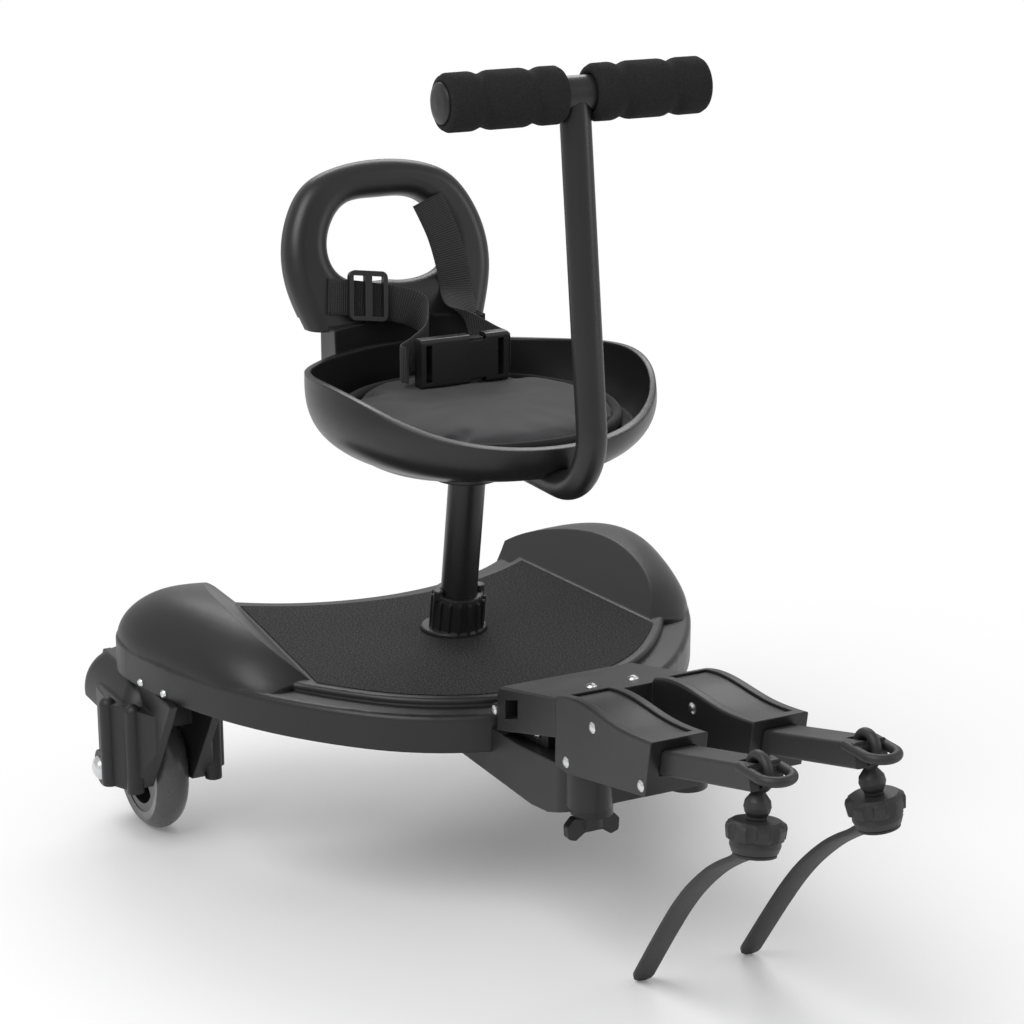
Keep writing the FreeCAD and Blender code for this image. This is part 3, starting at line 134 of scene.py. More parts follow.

# The deck, both wheel forks, the bracket and the post socket are moulded from black nylon.
# The surface has a fine spark-eroded grain and is a little glossier where hands and shoes rub it,
# and its edges carry a painted highlight that makes them a shade lighter.


def grained_plastic(name, colour, roughness, grain=0.0007, depth=0.10, edge_round=0.0006,
                    edge_highlight_gain=1.6, gloss=0.42):
    """Moulded plastic with a fine grain, softly rounded edges and a painted highlight that lightens them."""
    paint = bpy.data.materials.new(name)
    paint.use_nodes = True
    tree = paint.node_tree
    shader = tree.nodes["Principled BSDF"]
    shader.inputs["Specular IOR Level"].default_value = gloss
    place = tree.nodes.new("ShaderNodeTexCoord")
    fine = tree.nodes.new("ShaderNodeTexNoise")
    fine.inputs["Scale"].default_value = 1 / grain
    fine.inputs["Detail"].default_value = 3.0
    broad = tree.nodes.new("ShaderNodeTexNoise")
    broad.inputs["Scale"].default_value = 14.0
    broad.inputs["Detail"].default_value = 4.0
    tree.links.new(place.outputs["Object"], fine.inputs["Vector"])
    tree.links.new(place.outputs["Object"], broad.inputs["Vector"])
    rubbed = tree.nodes.new("ShaderNodeMapRange")
    rubbed.inputs["From Min"].default_value = 0.3
    rubbed.inputs["From Max"].default_value = 0.7
    rubbed.inputs["To Min"].default_value = roughness - 0.05
    rubbed.inputs["To Max"].default_value = roughness + 0.05
    tree.links.new(broad.outputs["Fac"], rubbed.inputs["Value"])
    tree.links.new(rubbed.outputs["Result"], shader.inputs["Roughness"])
    soft_edge = tree.nodes.new("ShaderNodeBevel")
    soft_edge.samples = 4
    soft_edge.inputs["Radius"].default_value = edge_round
    bump = tree.nodes.new("ShaderNodeBump")
    bump.inputs["Strength"].default_value = depth
    bump.inputs["Distance"].default_value = grain
    tree.links.new(fine.outputs["Fac"], bump.inputs["Height"])
    tree.links.new(soft_edge.outputs["Normal"], bump.inputs["Normal"])
    tree.links.new(bump.outputs["Normal"], shader.inputs["Normal"])
    facing = tree.nodes.new("ShaderNodeNewGeometry")
    match = tree.nodes.new("ShaderNodeVectorMath")
    match.operation = "DOT_PRODUCT"
    tree.links.new(soft_edge.outputs["Normal"], match.inputs[0])
    tree.links.new(facing.outputs["Normal"], match.inputs[1])
    edge = tree.nodes.new("ShaderNodeMapRange")
    edge.inputs["From Min"].default_value = 1.0
    edge.inputs["From Max"].default_value = 0.85
    edge.inputs["To Min"].default_value = 0.0
    edge.inputs["To Max"].default_value = 1.0
    tree.links.new(match.outputs["Value"], edge.inputs["Value"])
    # Painted highlight: the base colour turns lighter where the rounded-edge normal leans away from the face.
    tint = tree.nodes.new("ShaderNodeMix")
    tint.data_type = "RGBA"
    tint.inputs["A"].default_value = (*colour, 1)
    tint.inputs["B"].default_value = (*[min(part * edge_highlight_gain, 1) for part in colour], 1)
    tree.links.new(edge.outputs["Result"], tint.inputs["Factor"])
    tree.links.new(tint.outputs["Result"], shader.inputs["Base Color"])
    return paint


def finish_nodes(names, paint):
    """Gives every slot of the named CAD pieces one material."""
    for name in names:
        for place in nodes[name].material_slots:
            place.material = paint


deck_black = grained_plastic("deck_black", (0.0115, 0.0115, 0.012), 0.40, edge_round=0.0022)
finish_nodes(["deck", "post_socket", "front_bracket"], deck_black)
fork_black = grained_plastic("fork_black", (0.0105, 0.0105, 0.011), 0.44, edge_round=0.0022)
finish_nodes(["left_fork", "right_fork"], fork_black)

# The footboard's mat: a thin rubber sheet rolled with grit, stuck into a recess of the deck.
# Its rim is pressed flat into a bead that catches the light.

grit_mat = bpy.data.materials.new("grit_mat")
grit_mat.use_nodes = True
tree = grit_mat.node_tree
shader = tree.nodes["Principled BSDF"]
shader.inputs["Roughness"].default_value = 0.86
shader.inputs["Specular IOR Level"].default_value = 0.28
place = tree.nodes.new("ShaderNodeTexCoord")
grit = tree.nodes.new("ShaderNodeTexNoise")
grit.inputs["Scale"].default_value = 900.0
grit.inputs["Detail"].default_value = 2.0
grit.inputs["Roughness"].default_value = 0.7
tree.links.new(place.outputs["Object"], grit.inputs["Vector"])
speck = tree.nodes.new("ShaderNodeValToRGB")
speck.color_ramp.elements[0].position = 0.46
speck.color_ramp.elements[0].color = (0.0095, 0.0095, 0.0098, 1)
speck.color_ramp.elements[1].position = 0.74
speck.color_ramp.elements[1].color = (0.085, 0.085, 0.088, 1)
tree.links.new(grit.outputs["Fac"], speck.inputs["Fac"])
tree.links.new(speck.outputs["Color"], shader.inputs["Base Color"])
bump = tree.nodes.new("ShaderNodeBump")
bump.inputs["Strength"].default_value = 0.8
bump.inputs["Distance"].default_value = 0.0006
tree.links.new(grit.outputs["Fac"], bump.inputs["Height"])
tree.links.new(bump.outputs["Normal"], shader.inputs["Normal"])
finish_nodes(["deck_mat"], grit_mat)

# The seat post, its plate and the T handle: steel tube, powder coated in a fine satin black.
# The post slides in its socket, and the handle's tube runs back under the seat to the same plate.

powder_coat = grained_plastic("powder_coat", (0.012, 0.012, 0.0125), 0.34,
                              grain=0.0011, depth=0.08, edge_round=0.0004)
finish_nodes(["seat_post", "seat_plate", "handle_tube", "handle_crossbar"], powder_coat)

# Screws, bolts, pins and bearings: zinc-plated steel, with a brushed bloom.
# The screws hold the forks and the bracket to the deck, and the pins carry the arms.

zinc_plate = bpy.data.materials.new("zinc_plate")
zinc_plate.use_nodes = True
tree = zinc_plate.node_tree
shader = tree.nodes["Principled BSDF"]
shader.inputs["Base Color"].default_value = (0.66, 0.67, 0.68, 1)
shader.inputs["Metallic"].default_value = 1.0
place = tree.nodes.new("ShaderNodeTexCoord")
bloom = tree.nodes.new("ShaderNodeTexNoise")
bloom.inputs["Scale"].default_value = 420.0
tree.links.new(place.outputs["Object"], bloom.inputs["Vector"])
dulled = tree.nodes.new("ShaderNodeMapRange")
dulled.inputs["To Min"].default_value = 0.22
dulled.inputs["To Max"].default_value = 0.42
tree.links.new(bloom.outputs["Fac"], dulled.inputs["Value"])
tree.links.new(dulled.outputs["Result"], shader.inputs["Roughness"])
fastenings = ["bracket_screws", "block_screws", "pivot_pins"]
for side in ("left_", "right_"):
    fastenings += [side + part for part in ("fork_screws", "axle", "arm_pins", "bearings")]
finish_nodes(fastenings, zinc_plate)

# The wheels: a tread of smoky clear polyurethane cast round a black spoked core.
# The clear ring lets light in, so the edge away from the light shows pale.

smoky_tread = bpy.data.materials.new("smoky_tread")
smoky_tread.use_nodes = True
tree = smoky_tread.node_tree
shader = tree.nodes["Principled BSDF"]
shader.inputs["Base Color"].default_value = (0.10, 0.10, 0.105, 1)
shader.inputs["Transmission Weight"].default_value = 0.35
shader.inputs["IOR"].default_value = 1.5
place = tree.nodes.new("ShaderNodeTexCoord")
haze = tree.nodes.new("ShaderNodeTexNoise")
haze.inputs["Scale"].default_value = 60.0
tree.links.new(place.outputs["Object"], haze.inputs["Vector"])
dulled = tree.nodes.new("ShaderNodeMapRange")
dulled.inputs["To Min"].default_value = 0.16
dulled.inputs["To Max"].default_value = 0.34
tree.links.new(haze.outputs["Fac"], dulled.inputs["Value"])
tree.links.new(dulled.outputs["Result"], shader.inputs["Roughness"])
finish_nodes(["left_tyre", "right_tyre"], smoky_tread)
wheel_core = grained_plastic("wheel_core", (0.02, 0.02, 0.021), 0.3)
finish_nodes(["left_rim", "right_rim"], wheel_core)

# The seat: a blow-moulded shell with a rolled lip, and the backrest loop that stands at its rear.
# Both are the same satin black plastic, bolted through the plate under the shell.

seat_black = grained_plastic("seat_black", (0.012, 0.012, 0.0125), 0.34,
                             grain=0.0009, depth=0.07, edge_round=0.0025)
finish_nodes(["seat_shell", "backrest"], seat_black)

# The seat pad: a thin foam disc in a sewn cover of grey woven polyester, loose in the bowl.
# The cover is cut a little large, so it puffs and wrinkles.

pad_low, pad_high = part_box("seat_pad")
pad_middle = (pad_low + pad_high) / 2
pad_inset = 0.004
pad_half_x = (pad_high.x - pad_low.x) / 2 - pad_inset
pad_half_y = (pad_high.y - pad_low.y) / 2 - pad_inset
pad_top = pad_high.z
pad_thick = 0.0095
pad_gap = 0.0006
shell_tree = BVHTree.FromPolygons([v.co for v in nodes["seat_shell"].data.vertices],
                                  [p.vertices for p in nodes["seat_shell"].data.polygons])


def bowl_under(x, y):
    """The height of the seat shell's upper face under a place."""
    found = shell_tree.ray_cast(Vector((x, y, pad_top + 0.01)), Vector((0, 0, -1)))
    return found[0].z if found[0] else pad_low.z


pad_rings, pad_steps = 14, 72
pad_points = []
for layer in (1, 0):
    for ring in range(1, pad_rings + 1):
        share = ring / pad_rings
        for step in range(pad_steps):
            angle = 2 * pi * step / pad_steps
            x = pad_middle.x + pad_half_x * share * cos(angle)
            y = pad_middle.y + pad_half_y * share * sin(angle)
            under = bowl_under(x, y) + pad_gap
            thick = pad_thick * (1 - 0.55 * share**8)
            pad_points.append((x, y, under + thick * layer))
centre_under = bowl_under(pad_middle.x, pad_middle.y) + pad_gap
top_centre = len(pad_points)
pad_points.append((pad_middle.x, pad_middle.y, centre_under + pad_thick))
pad_points.append((pad_middle.x, pad_middle.y, centre_under))
pad_faces = []
for layer in range(2):
    start = layer * pad_rings * pad_steps
    for step in range(pad_steps):
        ahead = (step + 1) % pad_steps
        face = (top_centre + layer, start + step, start + ahead)
        pad_faces.append(face if layer == 0 else face[::-1])
        for ring in range(pad_rings - 1):
            low, high = start + ring * pad_steps, start + (ring + 1) * pad_steps
            face = (low + step, high + step, high + ahead, low + ahead)
            pad_faces.append(face if layer == 0 else face[::-1])
rim = (pad_rings - 1) * pad_steps
base = (2 * pad_rings - 1) * pad_steps
for step in range(pad_steps):
    ahead = (step + 1) % pad_steps
    pad_faces.append((rim + step, base + step, base + ahead, rim + ahead))
pad_mesh = bpy.data.meshes.new("seat_cushion")
pad_mesh.from_pydata(pad_points, [], pad_faces)
seat_cushion = bpy.data.objects.new("seat_cushion", pad_mesh)
bpy.context.scene.collection.objects.link(seat_cushion)
for face in pad_mesh.polygons:
    face.use_smooth = True


def apply_changes(piece):
    """Turns a piece's modifiers into its mesh."""
    bpy.context.view_layer.update()
    graph = bpy.context.evaluated_depsgraph_get()
    made = bpy.data.meshes.new_from_object(piece.evaluated_get(graph))
    piece.modifiers.clear()
    piece.data = made


remesh = seat_cushion.modifiers.new("remesh", "REMESH")
remesh.mode = "VOXEL"
remesh.voxel_size = 0.0035
apply_changes(seat_cushion)
flat_points = [v.co.copy() for v in seat_cushion.data.vertices]
cloth_frames = 20
puff_limit = 0.0035
cloth = seat_cushion.modifiers.new("cloth", "CLOTH")
cloth.settings.quality = 5
cloth.settings.mass = 0.2
cloth.settings.use_pressure = True
cloth.settings.uniform_pressure_force = 3.0
cloth.settings.effector_weights.gravity = 0.0
cloth.settings.shrink_min = -0.03
cloth.point_cache.frame_start = 1
cloth.point_cache.frame_end = cloth_frames
for number in range(1, cloth_frames + 1):
    bpy.context.scene.frame_set(number)
apply_changes(seat_cushion)
bpy.context.scene.frame_set(1)
for vertex, flat in zip(seat_cushion.data.vertices, flat_points):
    moved = vertex.co - flat
    if moved.length > puff_limit:
        moved = moved.normalized() * puff_limit
    vertex.co = flat + moved
    vertex.co.z = max(vertex.co.z, flat.z - 0.0003)

for vertex in seat_cushion.data.vertices:
    away = Vector(((vertex.co.x - pad_middle.x) / pad_half_x, (vertex.co.y - pad_middle.y) / pad_half_y))
    angle = atan2(away.y, away.x)
    fold = noise.noise(Vector((cos(angle) * 3.2, sin(angle) * 3.2, away.length * 1.3)))
    ripple = noise.noise(Vector((vertex.co.x * 34, vertex.co.y * 34, 0.5)))
    if vertex.co.z > bowl_under(vertex.co.x, vertex.co.y) + 0.006:
        vertex.co.z += (fold * 0.0016 * away.length + ripple * 0.0009) * min(1, 6 * max(0, 1 - away.length))
smooth = seat_cushion.modifiers.new("smooth", "SUBSURF")
smooth.levels = 1
smooth.render_levels = 1
for face in seat_cushion.data.polygons:
    face.use_smooth = True


def woven_cloth(name, colour, pitch, light=1.5, bump_depth=0.35):
    """Plain-weave cloth: two crossed sets of yarns, with uneven dyeing and a soft bloom."""
    paint = bpy.data.materials.new(name)
    paint.use_nodes = True
    tree = paint.node_tree
    shader = tree.nodes["Principled BSDF"]
    shader.inputs["Roughness"].default_value = 0.85
    shader.inputs["Specular IOR Level"].default_value = 0.25
    shader.inputs["Sheen Weight"].default_value = 0.12
    shader.inputs["Sheen Roughness"].default_value = 0.5
    place = tree.nodes.new("ShaderNodeTexCoord")
    heights = []
    for direction in ("X", "Y"):
        yarn = tree.nodes.new("ShaderNodeTexWave")
        yarn.bands_direction = direction
        yarn.inputs["Scale"].default_value = 1 / pitch / 20 * 2 * pi
        yarn.inputs["Distortion"].default_value = 0.4
        tree.links.new(place.outputs["Object"], yarn.inputs["Vector"])
        heights.append(yarn)
    both = tree.nodes.new("ShaderNodeMath")
    both.operation = "MAXIMUM"
    tree.links.new(heights[0].outputs["Fac"], both.inputs[0])
    tree.links.new(heights[1].outputs["Fac"], both.inputs[1])
    cloud = tree.nodes.new("ShaderNodeTexNoise")
    cloud.inputs["Scale"].default_value = 30.0
    cloud.inputs["Detail"].default_value = 6.0
    tree.links.new(place.outputs["Object"], cloud.inputs["Vector"])
    mixed = tree.nodes.new("ShaderNodeMath")
    mixed.operation = "MULTIPLY"
    tree.links.new(both.outputs["Value"], mixed.inputs[0])
    tree.links.new(cloud.outputs["Fac"], mixed.inputs[1])
    tone = tree.nodes.new("ShaderNodeValToRGB")
    tone.color_ramp.elements[0].position = 0.2
    tone.color_ramp.elements[0].color = (*colour, 1)
    tone.color_ramp.elements[1].position = 0.65
    tone.color_ramp.elements[1].color = (*[part * light for part in colour], 1)
    tree.links.new(mixed.outputs["Value"], tone.inputs["Fac"])
    tree.links.new(tone.outputs["Color"], shader.inputs["Base Color"])
    bump = tree.nodes.new("ShaderNodeBump")
    bump.inputs["Strength"].default_value = bump_depth
    bump.inputs["Distance"].default_value = pitch * 0.6
    tree.links.new(both.outputs["Value"], bump.inputs["Height"])
    tree.links.new(bump.outputs["Normal"], shader.inputs["Normal"])
    return paint


pad_cloth = woven_cloth("pad_cloth", (0.030, 0.030, 0.032), 0.0009)
seat_cushion.data.materials.clear()
seat_cushion.data.materials.append(pad_cloth)
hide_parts("seat_pad")
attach(seat_cushion, "seat")

# The pad's binding: black tape folded over the rim and sewn through with one line of stitches.
# It lies in the bowl with the pad and rises and dips a little as it goes round.


def swept(name, path, profile, closed=True, across=None):
    """A mesh that carries a closed profile of (sideways, upward) pairs along a path of points."""
    points, faces = [], []
    count, size = len(path), len(profile)
    for number, at in enumerate(path):
        behind = path[number - 1] if closed or number else at
        ahead = path[(number + 1) % count] if closed or number < count - 1 else at
        way = (ahead - behind).normalized()
        side = across[number] if across else way.cross(Vector((0, 0, 1)))
        side = (side - way * side.dot(way)).normalized()
        rise = side.cross(way).normalized()
        points += [at + side * u + rise * v for u, v in profile]
    for number in range(count if closed else count - 1):
        low, high = number * size, (number + 1) % count * size
        for step in range(size):
            ahead = (step + 1) % size
            faces.append((low + step, low + ahead, high + ahead, high + step))
    if not closed:
        faces.append(tuple(range(size))[::-1])
        faces.append(tuple(range((count - 1) * size, count * size)))
    mesh = bpy.data.meshes.new(name)
    mesh.from_pydata(points, [], faces)
    for face in mesh.polygons:
        face.use_smooth = True
    piece = bpy.data.objects.new(name, mesh)
    bpy.context.scene.collection.objects.link(piece)
    return piece


binding_path = []
for step in range(144):
    angle = 2 * pi * step / 144
    x = pad_middle.x + (pad_half_x + 0.0005) * cos(angle)
    y = pad_middle.y + (pad_half_y + 0.0005) * sin(angle)
    lift = 0.0005 * noise.noise(Vector((cos(angle) * 4, sin(angle) * 4, 0)))
    binding_path.append(Vector((x, y, bowl_under(x, y) + 0.0052 + lift)))
binding_profile = [(0.0034 * cos(2 * pi * n / 12), 0.0044 * sin(2 * pi * n / 12)) for n in range(12)]
pad_binding = swept("pad_binding", binding_path, binding_profile)
binding_tape = woven_cloth("binding_tape", (0.009, 0.009, 0.0095), 0.0006, light=1.8)
pad_binding.data.materials.append(binding_tape)
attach(pad_binding, "seat")

# The harness: 25 mm ribbed polypropylene webbing. One band comes down the loop's right side to the
# buckle, the other crosses from the left neck through a slide to the buckle's other half.


def ribbed_webbing(name, colour):
    """Ribs run across the band and both borders are woven flat."""
    paint = bpy.data.materials.new(name)
    paint.use_nodes = True
    tree = paint.node_tree
    shader = tree.nodes["Principled BSDF"]
    shader.inputs["Roughness"].default_value = 0.72
    shader.inputs["Specular IOR Level"].default_value = 0.3
    shader.inputs["Sheen Weight"].default_value = 0.1
    place = tree.nodes.new("ShaderNodeUVMap")
    place.uv_map = "band"
    rib = tree.nodes.new("ShaderNodeTexWave")
    rib.bands_direction = "Y"
    rib.inputs["Scale"].default_value = 1 / 0.0016 / 20 * 2 * pi
    rib.inputs["Distortion"].default_value = 0.25
    yarn = tree.nodes.new("ShaderNodeTexWave")
    yarn.bands_direction = "X"
    yarn.inputs["Scale"].default_value = 1 / 0.0010 / 20 * 2 * pi
    tree.links.new(place.outputs["UV"], rib.inputs["Vector"])
    tree.links.new(place.outputs["UV"], yarn.inputs["Vector"])
    both = tree.nodes.new("ShaderNodeMath")
    both.operation = "MULTIPLY_ADD"
    both.inputs[1].default_value = 0.35
    tree.links.new(yarn.outputs["Fac"], both.inputs[0])
    tree.links.new(rib.outputs["Fac"], both.inputs[2])
    tone = tree.nodes.new("ShaderNodeValToRGB")
    tone.color_ramp.elements[0].position = 0.1
    tone.color_ramp.elements[0].color = (*[part * 0.45 for part in colour], 1)
    tone.color_ramp.elements[1].position = 1.0
    tone.color_ramp.elements[1].color = (*[part * 1.5 for part in colour], 1)
    tree.links.new(both.outputs["Value"], tone.inputs["Fac"])
    tree.links.new(tone.outputs["Color"], shader.inputs["Base Color"])
    bump = tree.nodes.new("ShaderNodeBump")
    bump.inputs["Strength"].default_value = 0.7
    bump.inputs["Distance"].default_value = 0.0007
    tree.links.new(both.outputs["Value"], bump.inputs["Height"])
    tree.links.new(bump.outputs["Normal"], shader.inputs["Normal"])
    return paint


def eased(points, parts):
    """A smooth run of points through the given ones."""
    made = []
    for number in range(len(points) - 1):
        a, b = points[max(number - 1, 0)], points[number]
        c, d = points[number + 1], points[min(number + 2, len(points) - 1)]
        for step in range(parts):
            t = step / parts
            bend, twist = 2 * a - 5 * b + 4 * c - d, 3 * b - a - 3 * c + d
            made.append(0.5 * (2 * b + (c - a) * t + bend * t**2 + twist * t**3))
    made.append(points[-1].copy())
    return made


webbing_width, webbing_thick = 0.025, 0.0017


def woven_band(name, points, across, parts=8, width=webbing_width, thick=webbing_thick, closed=False):
    """A flat band with woven borders: u runs across it and v along it, in metres."""
    path, sides = eased(points, parts), eased(across, parts)
    steps = 8
    length = 0.0
    vertices, where = [], []
    for number, at in enumerate(path):
        behind, ahead = path[max(number - 1, 0)], path[min(number + 1, len(path) - 1)]
        length += (at - behind).length if number else 0
        way = (ahead - behind).normalized()
        side = (sides[number] - way * sides[number].dot(way)).normalized()
        rise = side.cross(way).normalized()
        for layer in (1, -1):
            for step in range(steps + 1):
                share = step / steps * 2 - 1
                border = 0.0003 if abs(share) == 1 else 0
                vertices.append(at + side * share * width / 2 + rise * layer * (thick / 2 - border))
                where.append((share * width / 2, length))
    faces = []
    size = 2 * (steps + 1)
    for number in range(len(path) - 1):
        low, high = number * size, (number + 1) * size
        for step in range(steps):
            faces.append((low + step, low + step + 1, high + step + 1, high + step))
            under = steps + 1 + step
            faces.append((high + under, high + under + 1, low + under + 1, low + under))
        faces.append((low + steps, low + size - 1, high + size - 1, high + steps))
        faces.append((high, high + steps + 1, low + steps + 1, low))
    for start, flip in ((0, True), ((len(path) - 1) * size, False)):
        upper = [start + n for n in range(steps + 1)]
        lower = [start + steps + 1 + n for n in reversed(range(steps + 1))]
        ring = upper + lower
        faces.append(tuple(ring if flip else ring[::-1]))
    mesh = bpy.data.meshes.new(name)
    mesh.from_pydata(vertices, [], faces)
    layer = mesh.uv_layers.new(name="band")
    for corner in mesh.loops:
        layer.data[corner.index].uv = where[corner.vertex_index]
    for face in mesh.polygons:
        face.use_smooth = True
    piece = bpy.data.objects.new(name, mesh)
    bpy.context.scene.collection.objects.link(piece)
    soft = piece.modifiers.new("soft_edge", "BEVEL")
    soft.width = 0.0003
    soft.segments = 2
    soft.limit_method = "ANGLE"
    soft.angle_limit = radians(50)
    return piece


def seat_place(x, y, z):
    """A place in metres from millimetres, with z up from the standing surface."""
    return Vector((x / 1000, y / 1000 + board_shift, (z + 155) / 1000))


loop_lean, loop_thick = radians(17), 26.0


def loop_face(x, z, off):
    """A place off the front of the leaning backrest loop."""
    return seat_place(x, 88 + (z - 196) * tan(loop_lean) - (loop_thick / 2 + off) / cos(loop_lean), z)


harness_black = ribbed_webbing("harness_black", (0.016, 0.016, 0.017))
sideways, upright = Vector((1, 0, 0)), Vector((0, tan(loop_lean), 1)).normalized()
shoulder_points = [loop_face(x, z, 1.1) for x, z in ((31, 284), (39, 262), (43, 240), (44, 222))]
shoulder_points += [seat_place(*spot) for spot in ((40, 66, 212), (38, 50, 203), (44, 28, 195))]
shoulder_points += [seat_place(*spot) for spot in ((50, 14, 191), (46, 5, 191))]
shoulder_across = [sideways] * 4 + [Vector((1, 0, -0.3)).normalized(), Vector((0.3, 0, -1)).normalized()]
shoulder_across += [Vector((0, 0, -1))] * 3
shoulder_band = woven_band("shoulder_band", shoulder_points, shoulder_across)
cross_points = [loop_face(x, z, 1.1) for x, z in ((-54, 226), (-30, 222), (-8, 217))]
cross_points += [seat_place(*spot) for spot in ((6, 71, 213), (9, 58, 205), (0, 40, 197), (-18, 24, 193))]
cross_points += [seat_place(*spot) for spot in ((-32, 13, 191), (-31, 5, 191))]
cross_band = woven_band("cross_band", cross_points, [upright] * 4 + [Vector((0, 0, 1))] * 5)
for piece, node in ((shoulder_band, "shoulder_strap"), (cross_band, "cross_strap")):
    piece.data.materials.append(harness_black)
    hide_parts(node)
    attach(piece, "seat")

# The slide and both halves of the side-release buckle: acetal, smoother and glossier than the seat.
# The slide sits on the cross strap, and each half of the buckle holds the end of one strap.

buckle_black = grained_plastic("buckle_black", (0.012, 0.012, 0.0125), 0.30,
                               grain=0.0005, depth=0.04, edge_round=0.0005)
finish_nodes(["tri_glide", "buckle_socket", "buckle_plug"], buckle_black)

# The grips: closed-cell foam sleeves pushed on the crossbar, with two turned grooves each.
# A moulded plug closes each end of the bar and holds the sleeve on.

foam_black = bpy.data.materials.new("foam_black")
foam_black.use_nodes = True
tree = foam_black.node_tree
shader = tree.nodes["Principled BSDF"]
shader.inputs["Roughness"].default_value = 0.93
shader.inputs["Specular IOR Level"].default_value = 0.2
place = tree.nodes.new("ShaderNodeTexCoord")
cells = tree.nodes.new("ShaderNodeTexVoronoi")
cells.inputs["Scale"].default_value = 1500.0
tree.links.new(place.outputs["Object"], cells.inputs["Vector"])
tone = tree.nodes.new("ShaderNodeValToRGB")
tone.color_ramp.elements[0].color = (0.0065, 0.0065, 0.0068, 1)
tone.color_ramp.elements[1].color = (0.021, 0.021, 0.022, 1)
tree.links.new(cells.outputs["Distance"], tone.inputs["Fac"])
tree.links.new(tone.outputs["Color"], shader.inputs["Base Color"])
bump = tree.nodes.new("ShaderNodeBump")
bump.inputs["Strength"].default_value = 0.5
bump.inputs["Distance"].default_value = 0.0005
tree.links.new(cells.outputs["Distance"], bump.inputs["Height"])
tree.links.new(bump.outputs["Normal"], shader.inputs["Normal"])
grip_outline = [(0.0120, 0.0100), (0.0140, 0.0100), (0.0163, 0.0110), (0.0176, 0.0135)]
for notch in (0.030, 0.065):
    for shift in (-7, -5, -3.5, -2, -0.8, 0.8, 2, 3.5, 5, 7):
        dip = 0.5 + 0.5 * cos(pi * min(abs(shift) / 7, 1))
        grip_outline.append((0.0177 - 0.0019 * dip, notch + shift / 1000))
grip_outline += [(0.0176, 0.0855), (0.0163, 0.0880), (0.0140, 0.0890), (0.0120, 0.0890)]
for side, sign in (("left_", -1), ("right_", 1)):
    sleeve_low, sleeve_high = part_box(side + "grip")
    bar_centre = (sleeve_low + sleeve_high) / 2
    turns = 96
    sleeve_points, sleeve_faces = [], []
    for number, (radius, along) in enumerate(grip_outline):
        for step in range(turns):
            angle = 2 * pi * step / turns
            cell = Vector((along * 60 * sign, cos(angle) * 1.5, sin(angle) * 1.5))
            pinch = 1 - 0.006 * max(0, noise.noise(cell))
            puff = radius * (pinch if 3 <= number < len(grip_outline) - 3 else 1)
            y = bar_centre.y + puff * cos(angle)
            z = bar_centre.z + puff * sin(angle)
            sleeve_points.append((sign * along, y, z))
    rows = len(grip_outline)
    for row in range(rows):
        below = (row + 1) % rows
        for step in range(turns):
            ahead = (step + 1) % turns
            face = (row * turns + step, row * turns + ahead, below * turns + ahead, below * turns + step)
            sleeve_faces.append(face if sign > 0 else face[::-1])
    sleeve_mesh = bpy.data.meshes.new(side + "foam_sleeve")
    sleeve_mesh.from_pydata(sleeve_points, [], sleeve_faces)
    for face in sleeve_mesh.polygons:
        face.use_smooth = True
    sleeve = bpy.data.objects.new(side + "foam_sleeve", sleeve_mesh)
    bpy.context.scene.collection.objects.link(sleeve)
    sleeve_mesh.materials.append(foam_black)
    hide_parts(side + "grip")
    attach(sleeve, "seat")
finish_nodes(["left_end_plug", "right_end_plug"], seat_black)

# The hinge block, arm housings, levers and sliding bars: glass-filled nylon, duller and crisper
# than the deck. The D loops, rings, knobs and cups at the bars' ends are the same.

arm_black = grained_plastic("arm_black", (0.012, 0.012, 0.0125), 0.40,
                            grain=0.0006, depth=0.09, edge_round=0.0014)
lever_black = grained_plastic("lever_black", (0.014, 0.014, 0.0145), 0.38,
                              grain=0.0006, depth=0.12, edge_round=0.001)
bar_black = grained_plastic("bar_black", (0.019, 0.019, 0.0195), 0.5,
                            grain=0.0008, depth=0.12, edge_round=0.0005)
finish_nodes(["hinge_block", "left_arm_housing", "right_arm_housing"], arm_black)
finish_nodes(["left_lever", "right_lever"], lever_black)
finish_nodes(["left_bar", "right_bar", "left_loop", "right_loop", "wing_knob"], bar_black)
for side in ("left_", "right_"):
    finish_nodes([side + "clamp_ring", side + "clamp_knob", side + "clamp_cup"], bar_black)

# The clamp straps: soft black rubber tongues with a raised border, moulded in one with a flat
# ring that sits in the cup. They hang from the knobs and their tips rest on the floor.

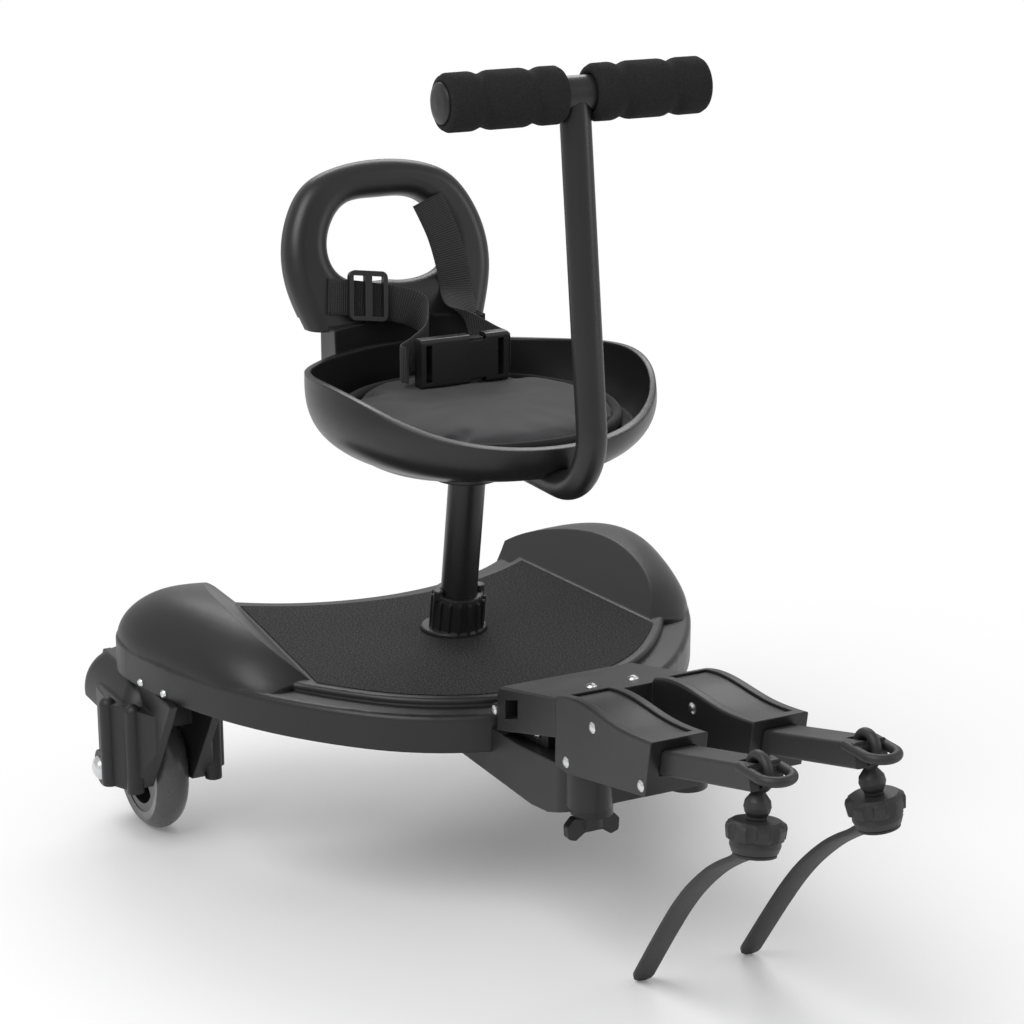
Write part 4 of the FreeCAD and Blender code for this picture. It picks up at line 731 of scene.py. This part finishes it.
strap_rubber = grained_plastic("strap_rubber", (0.020, 0.020, 0.0205), 0.6,
                               grain=0.0009, depth=0.15, edge_round=0.0005)
strap_curve = ((0, 15.0), (8, 13.0), (16, 8.6), (26, 2.0), (42, -7.5), (61, -20.0), (82, -36.0), (102, -53.0),
               (122, -72.5), (141, -93.0), (158, -112.0), (176, -132.5), (194.5, -153.7))
strap_turn = radians(12.3)
strap_across = Vector((cos(strap_turn), -sin(strap_turn), 0))
strap_profile = [(-6.4, -1.7), (6.4, -1.7), (6.75, -1.3), (6.75, 1.3), (6.4, 1.75), (5.6, 1.75), (5.0, 1.0)]
strap_profile = [(u / 1000, v / 1000) for u, v in strap_profile + [(-u, v) for u, v in strap_profile[:1:-1]]]
column_x, column_y, strap_aside = 41.156, -450.027, 1.2
tip_round, tip_narrowest = 0.006, 0.35
root_radius = 0.0083
root_profile = [(-0.0040, -0.0008), (-0.0040, 0.0008), (0.0040, 0.0008), (0.0040, -0.0008)]
for side, sign in (("left_", -1), ("right_", 1)):
    strap_x = sign * (column_x - strap_aside)
    hang = [seat_place(strap_x + reach * sin(strap_turn), column_y + reach * cos(strap_turn), height)
            for reach, height in strap_curve]
    hang = eased(hang, 6)
    level = [strap_across] * len(hang)
    tongue = swept(side + "rubber_tongue", hang, strap_profile, closed=False, across=level)
    for number, at in enumerate(hang):
        left_over = (hang[-1] - at).length
        if left_over < tip_round:
            narrow = max(0.0, 1 - (1 - left_over / tip_round) ** 2) ** 0.5
            for corner in range(len(strap_profile)):
                spot = tongue.data.vertices[number * len(strap_profile) + corner]
                aside = (spot.co - at).dot(strap_across)
                spot.co -= strap_across * aside * (1 - max(narrow, tip_narrowest))
    tongue.data.materials.append(strap_rubber)
    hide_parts(side + "strap")
    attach(tongue, side + "clamp")
    column_way = Vector((sign * -5.656, 6.027, 45.251)).normalized()
    root_centre = seat_place(sign * column_x, column_y, 16.05)
    flat = Vector((1, 0, 0)).cross(column_way).normalized()
    beside = column_way.cross(flat).normalized()
    spokes = [beside * cos(2 * pi * n / 48) + flat * sin(2 * pi * n / 48) for n in range(48)]
    root_path = [root_centre + spoke * root_radius for spoke in spokes]
    root_ring = swept(side + "rubber_root", root_path, root_profile, across=spokes)
    root_ring.data.materials.append(strap_rubber)
    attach(root_ring, side + "clamp")
